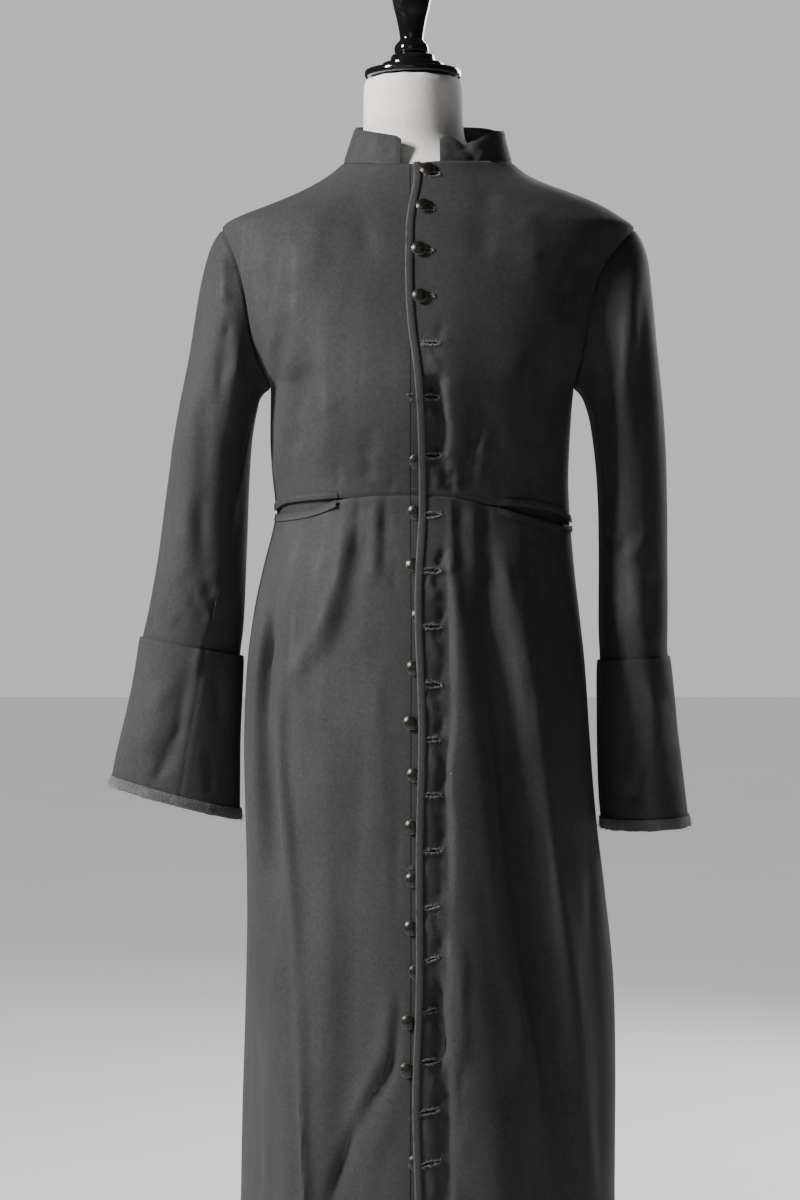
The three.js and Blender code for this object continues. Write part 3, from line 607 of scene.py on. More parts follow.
def thick(piece, thickness):
    """Notes where each point of the finished sheet lies, then gives the sheet its thickness,
    inwards, and drops the map that it no longer needs."""
    laid[piece.name] = np.hstack([points_of(piece), normals_of(piece)])[grid_of(piece)]
    piece.data.uv_layers.remove(piece.data.uv_layers["share"])
    wall = piece.modifiers.new("thickness", "SOLIDIFY")
    wall.thickness = thickness / 1000
    wall.offset = -1
    wall.use_even_offset = True
    select_only(piece)
    bpy.ops.object.modifier_apply(modifier="thickness")
    bpy.ops.object.shade_smooth_by_angle(angle=math.radians(48))


wool_group = bpy.data.node_groups.new("wool_twill", "ShaderNodeTree")
for socket, kind, value in (
    ("Place", "NodeSocketVector", None), ("Cut", "NodeSocketVector", None),
    ("Wool", "NodeSocketColor", (0.03, 0.03, 0.032, 1)),
    ("Rubbed Wool", "NodeSocketColor", (0.06, 0.06, 0.062, 1)),
    ("Lint", "NodeSocketFloat", 1.0), ("Pressed Line", "NodeSocketFloat", 0.0),
):
    added = wool_group.interface.new_socket(socket, in_out="INPUT", socket_type=kind)
    if value is not None:
        added.default_value = value
for socket, kind in (("Colour", "NodeSocketColor"), ("Height", "NodeSocketFloat"),
                     ("Roughness", "NodeSocketFloat")):
    wool_group.interface.new_socket(socket, in_out="OUTPUT", socket_type=kind)
given = wool_group.nodes.new("NodeGroupInput")
result = wool_group.nodes.new("NodeGroupOutput")


def wool_texture(kind, source, out="Fac", **settings):
    return add_node(wool_group, "Tex" + kind, Vector=source, **settings).outputs[out]


tree, cut, place, pressed = wool_group, *(given.outputs[k] for k in ("Cut", "Place", "Pressed Line"))
slanted = add_node(tree, "Mapping", Vector=cut, Rotation=(0, 0, math.radians(58))).outputs[0]
upright = add_node(tree, "Mapping", Vector=place, Scale=(60, 60, 5)).outputs[0]
twill = wool_texture("Wave", slanted, Scale=262.0, Distortion=1.6, Detail=2.0, **{"Detail Scale": 1.4})
yarn = wool_texture("Noise", cut, Scale=1500.0, Detail=2.0)
nap = wool_texture("Noise", place, Scale=520.0, Detail=3.0, Roughness=0.7)
grain = wool_texture("Noise", place, Scale=230.0, Detail=4.0, Roughness=0.75)
patches = wool_texture("Noise", place, Scale=7.0, Detail=5.0)
rubbed = wool_texture("Noise", upright, Scale=1.0, Detail=4.0)
specks = wool_texture("Voronoi", place, "Distance", Scale=26.0)
rare = wool_texture("Noise", place, Scale=19.0, Detail=1.0)

tone = plus(tree, times(tree, ramp(tree, nap, 0.3, 0.72), 0.6),
            times(tree, ramp(tree, grain, 0.33, 0.67), 0.55))
tone = plus(tree, times(tree, tone, 0.5), times(tree, twill, 0.22),
            times(tree, ramp(tree, patches, 0.3, 0.7), 0.28))
shaded = mixed(tree, tone, (0.58, 0.58, 0.58), (1.42, 1.42, 1.43))
wool = mixed(tree, 1.0, given.outputs["Wool"], shaded, "MULTIPLY")
worn = times(tree, ramp(tree, rubbed, 0.52, 0.8), 0.2)
wool = mixed(tree, worn, wool, given.outputs["Rubbed Wool"])
speck = times(tree, ramp(tree, specks, 0.022, 0.012), ramp(tree, rare, 0.6, 0.63))
wool = mixed(tree, times(tree, speck, given.outputs["Lint"]), wool, (0.3, 0.29, 0.27))
# the pressed line is painted near black: painted shade in its sunk line
wool = mixed(tree, pressed, wool, (0.006, 0.006, 0.007))
height = plus(tree, times(tree, twill, 0.5), times(tree, nap, 0.9), times(tree, yarn, 0.3))
height = sum_of(tree, "SUBTRACT", height, times(tree, pressed, 2.2))
for socket, value in (("Colour", wool), ("Height", height),
                      ("Roughness", ramp(tree, rubbed, 0.4, 0.8, 0.74, 0.58))):
    tree.links.new(value, result.inputs[socket])


def wool_cloth(name, wool, rubbed_wool, lint=1.0, line=None):
    """A wool material. line = (axis of the cut, its place in mm, half width) draws one
    pressed line along the cloth, sunk in the bump and painted near black as painted shade."""
    material, tree, shader = new_material(name)
    cut = add_node(tree, "UVMap", uv_map="cut").outputs["UV"]
    fabric = tree.nodes.new("ShaderNodeGroup")
    fabric.node_tree = wool_group
    put_in(tree, fabric, {
        "Place": add_node(tree, "TexCoord").outputs["Object"], "Cut": cut, "Lint": lint,
        "Wool": (*wool, 1), "Rubbed Wool": (*rubbed_wool, 1)})
    if line:
        axis, at, half = line
        gap = sum_of(tree, "ABSOLUTE", sum_of(tree, "SUBTRACT", parts_of(tree, cut)[axis], at / 1000))
        put_in(tree, fabric, {"Pressed Line": ramp(tree, gap, half / 1000, half / 3000)})
    put_in(tree, shader, {
        "Base Color": fabric.outputs["Colour"], "Roughness": fabric.outputs["Roughness"],
        "Sheen Weight": 0.07, "Sheen Roughness": 0.5, "Specular IOR Level": 0.2})
    raised(tree, shader, fabric.outputs["Height"], 0.55, 0.0003)
    return material


CHARCOAL, RUBBED = (0.042, 0.0423, 0.0445), (0.072, 0.0725, 0.076)
charcoal_twill = wool_cloth("charcoal_twill", CHARCOAL, RUBBED)
CLOTH = 1.6


def hung(piece, creases, node, flat, area, *rests_on, ripple=0.4, keep=1.0, wall=CLOTH,
         material=charcoal_twill):
    """Lays the creases given for each side, then a ripple, and finishes a sheet of the coat."""
    for side, lines in creases.items():
        crease(piece, side, lines, keep)
    soft_ripple(piece, ripple, keep)
    thick(piece, wall)
    finished(piece, material, "coat_cloth", node)
    return piece


def bulge(values, middle, half_width, height):
    return np.exp(-((values - middle) / half_width) ** 2) * height


BACK_CREASES = [
    # from the shoulder blade, down to the waist, and short ones that the waist seam gathers
    ([(120, 1452), (104, 1380), (96, 1290), (100, 1215)], 13, 17, 2.8),
    ([(70, 1400), (58, 1310), (56, 1230), (60, 1188)], 11, 14, -2.7),
    ([(150, 1330), (138, 1262), (128, 1206)], 9, 13, -2.8),
    ([(28, 1260), (31, 1218), (28, 1184)], 6, 8, -2.1),
    ([(88, 1240), (84, 1208), (86, 1182)], 6, 8, 2.0),
    ([(116, 1228), (112, 1200), (113, 1180)], 5, 7, -2.1),
    ([(172, 1420), (150, 1388), (120, 1366)], 8, 12, 2.2),
    ([(46, 1540), (58, 1516), (86, 1498)], 7, 10, -1.7),
]
for side, sign, flat, area in (("right", -1, (0.279, 0.543), 0.0939),
                               ("left", 1, (0.280, 0.563), 0.0909)):
    piece = cut_sheet(f"twill_back_{side}", outer_cells(f"back_{side}", 8, 20))
    sunk_seams(piece, "start", "end", "bottom", "top", depth=1.3)
    apart = 1 if side == "left" else 0.86
    creases = [
        ([(sign * x * (apart if k % 2 else 1), z + (9 * k if side == "right" else 0)) for x, z in line],
         before, after, high * (1 if k % 2 else apart))
        for k, (line, before, after, high) in enumerate(BACK_CREASES)
    ]
    hung(piece, {"back": creases}, f"back_{side}", flat, area, "covered_form")

# ---------------------------------------------------------------- the two fronts
# The wearer's right front lies under and carries the buttons. The left front laps over it,
# hangs a little away from it below the chest, and carries the buttonholes.
RIGHT_FRONT_CREASES = [
    ([(-164, 1392), (-168, 1348), (-171, 1306)], 9, 7, 2.7),
    ([(-143, 1366), (-149, 1310), (-158, 1258), (-163, 1216), (-166, 1190)], 11, 8, 3.5),
    ([(-132, 1330), (-140, 1270), (-148, 1222)], 8, 10, -2.6),
    ([(-104, 1300), (-112, 1250), (-116, 1204)], 12, 15, 1.9),
    ([(-60, 1262), (-64, 1226), (-62, 1196)], 7, 10, -1.8),
    ([(-180, 1440), (-166, 1410), (-140, 1394)], 7, 11, -2.1),
    ([(-88, 1520), (-70, 1478), (-64, 1424)], 12, 16, -1.6),
    ([(-116, 1500), (-124, 1452), (-126, 1400)], 14, 18, 1.8),
    ([(-36, 1212), (-38, 1198), (-37, 1188)], 4, 5, -1.4),
    ([(-96, 1222), (-97, 1206), (-95, 1194)], 4, 5, -1.4),
]
LEFT_FRONT_CREASES = [
    ([(54, 1290), (49, 1262), (44, 1232), (39, 1204), (37, 1186)], 9, 5, -4.2),
    ([(62, 1262), (56, 1232), (52, 1200)], 8, 8, 2.2),
    ([(25, 1216), (24, 1200), (24, 1186)], 4, 4, -2.1),
    ([(16, 1226), (17, 1204), (17, 1188)], 4, 4, -1.8),
    ([(5, 1322), (8, 1300), (12, 1282), (15, 1256), (12, 1232), (11, 1214)], 5, 11, -4.4),
    ([(9, 1330), (14, 1268), (14, 1232), (17, 1190)], 6, 13, -2.8),
    ([(96, 1350), (92, 1290), (86, 1240), (84, 1200)], 14, 18, 2.1),
    ([(128, 1340), (122, 1280), (112, 1226)], 10, 12, -2.5),
    ([(146, 1390), (140, 1340), (134, 1296)], 9, 12, 2.4),
    ([(178, 1450), (160, 1412), (132, 1394)], 8, 12, -2.1),
    ([(64, 1524), (62, 1480), (56, 1430)], 12, 17, -1.5),
    ([(104, 1500), (110, 1450), (108, 1404)], 14, 18, 1.5),
    ([(112, 1212), (111, 1196), (112, 1180)], 4, 5, -1.5),
    ([(74, 1206), (75, 1192), (74, 1182)], 4, 5, -1.4),
]
# the pressed line down the button stand is sunk in the bump and painted near black as painted shade
button_stand_twill = wool_cloth("button_stand_twill", CHARCOAL, RUBBED, line=("X", -35.5, 0.8))


def beside_buttons(piece):
    """0 on the flat stand that carries the buttons and 1 beside it."""
    stand_width, fade = 42, 16
    return step_up((from_edge(piece, "end") - stand_width) / fade)


under = cut_sheet("twill_front_right", outer_cells("front_right", 12, 20), from_end=True)
sunk_seams(under, "start", "bottom", "top", depth=1.3)
hung(under, {"front": RIGHT_FRONT_CREASES}, "front_right", (0.293, 0.543), 0.0966, "covered_form",
     keep=beside_buttons(under), material=button_stand_twill)

# the buttonholes in the lap, which pucker the cloth round them
HOLES = [
    # across, height, turn in degrees, half length, how open
    (5.0, 1531, 2, 8.0, 2.2), (-0.5, 1492, 0, 7.0, 2.2), (-2.5, 1446, -2, 7.0, 2.3),
    (-1.0, 1396, 3, 7.0, 2.4), (2.0, 1346, 1, 9.6, 2.2), (1.0, 1289, -1, 10.2, 3.4),
    (2.0, 1228, 1, 10.6, 3.1), (3.0, 1165, 3, 10.2, 3.5), (2.4, 1106, 2, 10.4, 3.2),
    (3.4, 1047, 0, 10.2, 2.8), (3.0, 986, -3, 10.2, 3.5), (2.0, 929, 2, 10.0, 2.5),
    (3.2, 871, -2, 9.8, 2.0), (3.0, 813, 4, 10.2, 2.4), (0.8, 755, 6, 9.8, 1.9),
    (1.0, 701, 15, 9.6, 1.8), (1.2, 648, 11, 9.6, 2.2), (-0.8, 596, 5, 10.6, 3.1),
    (-1.0, 545, 8, 10.8, 2.9), (1.0, 492, 12, 10.8, 2.6), (1.0, 439, 5, 10.2, 2.5),
    (0.6, 386, 3, 10.2, 2.8), (0.2, 333, -2, 10.2, 2.4), (0.6, 280, 4, 10.0, 2.6),
    (0.2, 227, 2, 10.2, 2.5),
]


def puckers(low, high):
    """Short creases round each buttonhole: a dip above its inner end, a fold that slants away
    below it and one that runs on from it."""
    for x, z, _, half, _ in HOLES:
        if not low < z < high:
            continue
        chance = random.Random(f"pucker {z}")
        dip, fold = chance.uniform(1.2, 2.6), chance.uniform(0.8, 2.0)
        slant = chance.uniform(-6, 8)
        yield [(x + half - 5, z + 4), (x + half, z + 13), (x + half + 3, z + 25)], 5, 5, -dip
        yield [(x - half + 3, z - 6), (x + slant / 2, z - 17), (x + half - 3, z - 31 - slant)], 5, 6, fold
        yield [(x - half, z - 8), (x - 2, z - 10), (x + half + 4, z - 7)], 4, 5, -fold * 0.7
        yield [(x + half - 2, z), (x + half + 6, z + 1), (x + half + 13, z + 4)], 4, 4, dip * 0.5


lap = cut_sheet("twill_front_left", outer_cells("front_left", 12, 20))
sunk_seams(lap, "end", "bottom", "top", depth=1.3)
hung(lap, {"front": LEFT_FRONT_CREASES + list(puckers(1190, 1370))}, "front_left",
     (0.301, 0.564), 0.0961, "twill_front_right")

# ---------------------------------------------------------------- the skirt
# Four long flared pieces sewn to the body at the waist. They fall free of the form in deep
# folds, and open over the shins where nothing holds them.
RIGHT_SKIRT_CREASES = [
    ([(-152, 1140), (-150, 1091), (-154, 1064), (-158, 1006), (-158, 926), (-156, 883),
      (-150, 820), (-143, 737), (-138, 653), (-134, 571), (-130, 447), (-126, 320), (-124, 200)],
     7, 5, 5.0),
    ([(-166, 1110), (-173, 1050), (-177, 990), (-176, 893), (-172, 829), (-168, 770), (-163, 690)],
     8, 8, -14.0),
    ([(-182, 1060), (-189, 960), (-190, 840), (-186, 740)], 8, 10, 2.6),
    ([(-85, 1176), (-95, 1110), (-107, 1066), (-121, 1033), (-141, 1002), (-152, 970)], 13, 9, 6.2),
    ([(-64, 1160), (-78, 1100), (-93, 1045), (-112, 1000)], 12, 12, -2.2),
    ([(-75, 1192), (-76, 1150), (-81, 1108)], 5, 5, -1.7),
    ([(-58, 1192), (-56, 1146), (-59, 1090)], 6, 6, 1.9),
    ([(-47, 1192), (-46, 1150), (-48, 1100)], 5, 5, -1.6),
    ([(-60, 1176), (-62, 1130), (-58, 1084)], 9, 12, 1.6),
    ([(-31, 850), (-32, 828), (-32, 786), (-33, 738)], 4.5, 5, -2.4),
    ([(-39, 1146), (-36, 1117), (-33, 1076)], 5, 5, -1.5),
    ([(-30, 690), (-32, 612), (-42, 583), (-57, 560), (-81, 516), (-104, 448), (-112, 400)],
     6, 5, -4.6),
    ([(-40, 680), (-46, 610), (-58, 580), (-78, 540), (-104, 480)], 8, 9, 3.2),
    ([(-38, 546), (-52, 518), (-68, 482)], 9, 12, 2.0),
    ([(-76, 800), (-83, 657), (-88, 492), (-94, 330)], 15, 20, -2.6),
    ([(-112, 980), (-108, 820), (-106, 640), (-108, 430)], 15, 20, 2.4),
    ([(-56, 1010), (-54, 900), (-56, 790)], 12, 15, 1.6),
    ([(-70, 940), (-72, 860), (-78, 770)], 9, 11, -1.3),
    ([(-60, 420), (-64, 300), (-70, 180)], 14, 18, 1.9),
    ([(-186, 620), (-184, 470), (-182, 300)], 9, 12, -3.4),
    ([(-168, 600), (-164, 470), (-160, 330)], 10, 12, -2.2),
]
LEFT_SKIRT_CREASES = [
    ([(54, 1150), (61, 1033), (67, 970), (74, 907), (84, 823), (96, 740), (106, 680), (118, 620),
      (130, 560), (140, 500), (150, 430), (160, 330)], 11, 12, -6.0),
    ([(46, 1110), (52, 1000), (60, 907), (68, 800), (80, 700), (94, 610), (104, 530), (112, 440)],
     10, 15, 5.5),
    ([(70, 800), (80, 710), (94, 620), (106, 540), (116, 440), (124, 330), (130, 200)],
     11, 17, 6.5),
    ([(91, 1090), (110, 990), (121, 906), (130, 821), (140, 740), (152, 660), (160, 580),
      (166, 500)], 9, 8, 3.2),
    ([(76, 1150), (88, 1060), (98, 980), (108, 880)], 9, 10, 2.0),
    ([(14, 1160), (17, 1100), (20, 1040), (21, 949), (17, 886), (19, 814), (17, 741), (13, 690)],
     5, 14, -5.2),
    ([(13, 700), (11, 679), (15, 618), (19, 556), (20, 454), (22, 330)], 5, 14, -5.6),
    ([(18, 740), (16, 690), (15, 640), (17, 590)], 5, 16, -3.4),
    ([(30, 740), (33, 660), (32, 580)], 8, 9, 2.2),
    ([(8, 700), (11, 640), (12, 590), (9, 540)], 5, 6, -2.4),
    ([(20, 610), (13, 586), (8, 560)], 6, 6, 1.8),
    ([(38, 600), (30, 556), (27, 500), (30, 450)], 8, 9, -2.2),
    ([(128, 1130), (140, 1060), (146, 980)], 8, 10, -2.6),
    ([(170, 900), (176, 760), (180, 600), (184, 430)], 10, 13, -3.6),
    ([(112, 1156), (106, 1120), (104, 1086)], 6, 7, -1.6),
    ([(32, 1190), (35, 1110), (40, 1040)], 6, 7, -1.3),
    ([(45, 1190), (48, 1124), (54, 1060)], 8, 7, 1.8),
    ([(60, 1190), (64, 1130), (70, 1080)], 6, 7, -1.3),
    ([(23, 1190), (24, 1144), (27, 1096)], 4, 5, 1.2),
]
BACK_SKIRT_CREASES = [
    ([(36, 1150), (40, 1000), (48, 800), (54, 560), (60, 300)], 11, 14, 3.4),
    ([(88, 1150), (98, 980), (108, 760), (116, 500), (120, 260)], 12, 10, 3.4),
    ([(64, 1140), (74, 960), (84, 720), (88, 470)], 9, 9, -4.4),
    ([(132, 1120), (146, 960), (156, 760), (164, 520)], 10, 11, -3.8),
    ([(14, 1120), (16, 900), (20, 640), (24, 360)], 8, 9, -2.8),
    ([(108, 700), (104, 560), (98, 400)], 8, 9, -2.8),
    ([(150, 640), (156, 500), (160, 330)], 10, 12, 2.8),
    ([(56, 1176), (60, 1120), (58, 1050)], 6, 8, -2.0),
    ([(104, 1170), (110, 1110), (112, 1040)], 7, 8, -2.0),
]
skirts = {}
for name, columns, side, creases, flat, area in (
    ("front_right", 12, "front", RIGHT_SKIRT_CREASES, (0.366, 1.071), 0.3456),
    ("front_left", 12, "front", LEFT_SKIRT_CREASES + list(puckers(200, 1160)),
     (0.384, 1.072), 0.3422),
    ("back_right", 8, "back", None, (0.395, 1.065), 0.3446),
    ("back_left", 8, "back", None, (0.394, 1.065), 0.3357),
):
    piece = cut_sheet(f"twill_skirt_{name}", outer_cells(f"skirt_{name}", columns, 14),
                      4 if name == "front_left" else 3, from_end=name == "front_right")
    edges = {"front_right": ("start", "top"), "front_left": ("end", "top")}
    sunk_seams(piece, *edges.get(name, ("start", "end", "top")), depth=1.3)
    sign = 1 if name == "back_left" else -1
    if creases is None:
        creases = [
            ([(sign * x, z - (11 * k if sign < 0 else 0)) for x, z in line], before, after, high)
            for k, (line, before, after, high) in enumerate(BACK_SKIRT_CREASES)
        ]
    carrier = {"front_left": "twill_skirt_front_right"}.get(name, f"twill_{name}")
    own = {}
    if name == "front_right":
        own = {"keep": beside_buttons(piece), "material": button_stand_twill}
    skirts[name] = hung(piece, {side: creases}, f"skirt_{name}", flat, area, carrier, ripple=0.6, **own)

# ---------------------------------------------------------------- edge strip of the lap
# A narrow strip of the same twill, folded and top-stitched down the free edge of the left
# front. Its free edge is painted light, partly wear from years of hands and partly a painted
# highlight, and a band of painted shade runs along its inner side.
strip_twill = wool_cloth("rubbed_strip_twill", (0.048, 0.0482, 0.05), (0.1, 0.1, 0.103), 0.6)
tree = strip_twill.node_tree
shader = tree.nodes["Principled BSDF"]
twill_colour = shader.inputs["Base Color"].links[0].from_socket
from_lap_edge = parts_of(tree, add_node(tree, "UVMap", uv_map="cut").outputs["UV"])["X"]
hands = texture(tree, "Noise", Scale=90.0, Detail=4.0)
# the light free edge: wear and a painted highlight, broken up in patches
edge_wear_and_highlight = times(tree, ramp(tree, from_lap_edge, 0.0026, 0.0006), ramp(tree, hands, 0.25, 0.6, 0.25, 0.9))
worn_and_highlit_edge = mixed(tree, edge_wear_and_highlight, twill_colour, (0.14, 0.14, 0.142))
# a near black band along the inner side of the strip is painted shade where it steps down to the lap
inner_painted_shade = times(tree, ramp(tree, from_lap_edge, 0.0058, 0.0068), 0.7)
put_in(tree, shader, {"Base Color": mixed(tree, inner_painted_shade, worn_and_highlit_edge, (0.008, 0.008, 0.009))})


def thread_material(name, dark, light, scale=2600.0, shine=0.55):
    """Twisted thread: fine bands round it, uneven in colour along its length."""
    material, tree, shader = new_material(name)
    twist = texture(tree, "Noise", Scale=scale, Detail=2.0)
    uneven = texture(tree, "Noise", Scale=420.0, Detail=4.0)
    put_in(tree, shader, {
        "Base Color": mixed(tree, ramp(tree, uneven, 0.32, 0.68), dark, light),
        "Roughness": ramp(tree, twist, 0.2, 0.8, shine, shine + 0.25), "Sheen Weight": 0.25})
    raised(tree, shader, twist, 0.6, 0.0002)
    return material


black_thread = thread_material("black_sewing_thread", (0.012, 0.012, 0.013), (0.035, 0.035, 0.037))


def smooth_piece(name, verts, faces):
    """A closed piece of these points and faces, smooth, with its faces turned outward."""
    mesh = bpy.data.meshes.new(name)
    mesh.from_pydata(verts, [], faces)
    shape = bmesh.new()
    shape.from_mesh(mesh)
    bmesh.ops.recalc_face_normals(shape, faces=shape.faces)
    shape.to_mesh(mesh)
    shape.free()
    mesh.shade_smooth()
    return placed(name, mesh)


def run_along(points):
    """How far each point lies from the first, along their line."""
    return np.concatenate([[0], np.cumsum(np.linalg.norm(np.diff(points, axis=0), axis=1))])


def value_at(place, run, values):
    return Vector([np.interp(place, run, values[:, k]) for k in range(3)])


def stitch_row(name, line, long=2.3, gap=0.9, radius=0.24):
    """A row of stitches along points and normals on the cloth. One stitch is a short round
    thread, thick in the middle, that dips into the cloth at both ends."""
    points, normals = line[:, :3], line[:, 3:]
    run = run_along(points)
    pitch, near = (long + gap) / 1000, 0.0004
    count = max(int(run[-1] / pitch), 1)
    chance = random.Random(name)
    verts, faces = [], []
    for k in range(count):
        start = k * pitch + chance.uniform(0, 0.0003)
        first = len(verts)
        for ring, (share, grow, lift) in enumerate(
            ((0, 0.35, -0.5), (0.25, 0.9, 0.55), (0.75, 0.95, 0.6), (1, 0.35, -0.5))
        ):
            at = start + share * long / 1000
            middle = value_at(at, run, points)
            up = value_at(at, run, normals).normalized()
            ahead = value_at(at + near, run, points) - middle
            if ahead.length < 1e-7:
                ahead = middle - value_at(at - near, run, points)
            out = ahead.cross(up).normalized()
            for corner in range(5):
                turn = 2 * math.pi * corner / 5
                swing = (out * math.cos(turn) + up * math.sin(turn)) * radius * grow / 1000
                verts.append(middle + up * (lift * radius / 1000) + swing)
        for ring in range(3):
            for corner in range(5):
                after = (corner + 1) % 5
                a, b = first + ring * 5, first + ring * 5 + 5
                faces.append((a + corner, b + corner, b + after, a + after))
        faces.append(tuple(first + c for c in range(5)))
        faces.append(tuple(first + 15 + c for c in reversed(range(5))))
    finished(smooth_piece(name, verts, faces), black_thread, "coat_cloth")


def line_on(name, edge, distance, first=0.0, last=1.0):
    """Points and normals along a finished sheet, a fixed distance in mm from one edge."""
    lie = laid[name]
    if edge in ("bottom", "top"):
        lie = lie.transpose(1, 0, 2)
    if edge in ("end", "top"):
        lie = lie[:, ::-1]
    line = []
    for row in lie:
        run = run_along(row[:, :3])
        line.append([np.interp(distance / 1000, run, row[:, k]) for k in range(6)])
    line = np.array(line)
    span = len(line) - 1
    return line[int(round(first * span)): int(round(last * span)) + 1]


for part, rows, flat, area in (("upper", 20, (0.01, 0.373), 0.0028),
                               ("lower", 14, (0.01, 1.072), 0.0080)):
    strip = cut_sheet(f"edge_binding_{part}", outer_cells(f"edge_strip_{part}", 1, rows))
    across = share_of(strip)[:, 0]
    ridge = bulge(across, 0.12, 0.1, 0.3) + bulge(across, 0.55, 0.2, 0.15) - bulge(across, 0.86, 0.07, 0.3)
    wave = np.array([noise_at(0, 0, z * 60) for z in points_of(strip)[:, 2]]) * 0.25
    pushed_out(strip, ridge + wave)
    thick(strip, 1.0)
    finished(strip, strip_twill, "coat_cloth", f"edge_strip_{part}")
    stitch_row(f"edge_stitches_{part}", line_on(strip.name, "end", 1.3))

# ---------------------------------------------------------------- pockets in the waist seam
# Each mouth gapes between two narrow welts of twill. A plain dark cloth shows in the gap.
pocket_cloth = wool_cloth("dark_pocket_cloth", (0.034, 0.034, 0.035), (0.05, 0.05, 0.051), 0.4)
for side, columns in (("right", 6), ("left", 7)):
    for part, rows, wall in (("upper", 1, 1.1), ("lower", 1, 1.1), ("cloth", 2, 1.4)):
        name = f"pocket_{side}_{part}"
        welt = cut_sheet(f"{side}_pocket_{part}_piece", outer_cells(name, columns, rows))
        if part != "cloth":
            up = share_of(welt)[:, 1]
            edge = up if part == "lower" else 1 - up
            puff = np.sin(np.clip(up, 0, 1) * math.pi) * 0.4 - bulge(edge, 0.2, 0.08, 0.35)
            points = points_of(welt)
            wave = np.array([noise_at(x * 70, 3, z * 20) for x, _, z in points]) * 0.3
            inner_end = np.abs(points[:, 0]) - np.abs(points[:, 0]).min()
            flattened = (1 - step_up(inner_end * 1000 / 12)) * 1.7
            pushed_out(welt, puff + wave - flattened)
        thick(welt, wall)
        finished(welt, charcoal_twill if part != "cloth" else pocket_cloth,
                 "coat_cloth" if part != "cloth" else "pocket_cloth", name)
        widths, heights = cut_size[welt.name]
        if part != "cloth":
            stitch_row(f"{side}_pocket_{part}_stitches",
                       line_on(welt.name, "bottom" if part == "lower" else "top", 1.4), 1.9, 0.8, 0.2)

# ---------------------------------------------------------------- stand collar
# A stiffened band of the twill, sewn round the neck with a gap at the front. It stands off
# the form a little, and its wearer's left end has a fold pressed into it.
collar = cut_sheet("twill_collar", outer_cells("collar", 24, 3))
sunk_seams(collar, "bottom", depth=0.7, reach=3.5)
share = share_of(collar)
rolled = (1 - step_up(from_edge(collar, "top") / 3.2)) * 0.7
rolled = np.maximum(rolled, (1 - step_up(from_edge(collar, "start") / 3)) * 0.6)
rolled = np.maximum(rolled, (1 - step_up(from_edge(collar, "end") / 3)) * 0.6)
points = points_of(collar) - normals_of(collar) * (rolled / 1000)[:, None]
# the top edge rises and dips over the fold, and the corners are rounded off
rise = np.interp(points[:, 0] * 1000, [6, 12, 25, 38, 52, 60, 72, 78, 84],
                 [1, 3, 2.5, -5.5, 0.5, 5, 5.5, 2, 0]) * (points[:, 1] < 0) * (points[:, 0] > 0.004)
ends = np.minimum(from_edge(collar, "start"), from_edge(collar, "end"))
rise -= (1 - step_up(ends / 5)) * 3
points[:, 2] += rise * share[:, 1] ** 2 / 1000
move_points(collar, points)
COLLAR_CREASES = {
    "front": [
        ([(34, 1572), (44, 1558), (54, 1546)], 4, 5, -2.0),
        ([(44, 1576), (54, 1562), (62, 1552)], 5, 6, 1.4),
        ([(-58, 1582), (-54, 1566), (-50, 1552)], 6, 8, 0.8),
        ([(18, 1570), (20, 1560), (19, 1550)], 4, 5, 0.7),
    ],
    "back": [
        ([(20, 1604), (24, 1586), (22, 1570)], 6, 7, -0.9),
        ([(-40, 1600), (-36, 1584), (-38, 1568)], 6, 8, 0.8),
    ],
}
hung(collar, COLLAR_CREASES, "collar", (0.505, 0.042), 0.0178, "twill_back_right",
     "twill_back_left", "twill_front_right", "twill_front_left", ripple=0.35, wall=2.2)
for edge, distance in (("start", 4.0), ("end", 4.0), ("top", 4.2)):
    stitch_row(f"collar_stitches_{edge}", line_on("twill_collar", edge, distance, 0.06, 0.94),
               2.1, 0.8, 0.2)

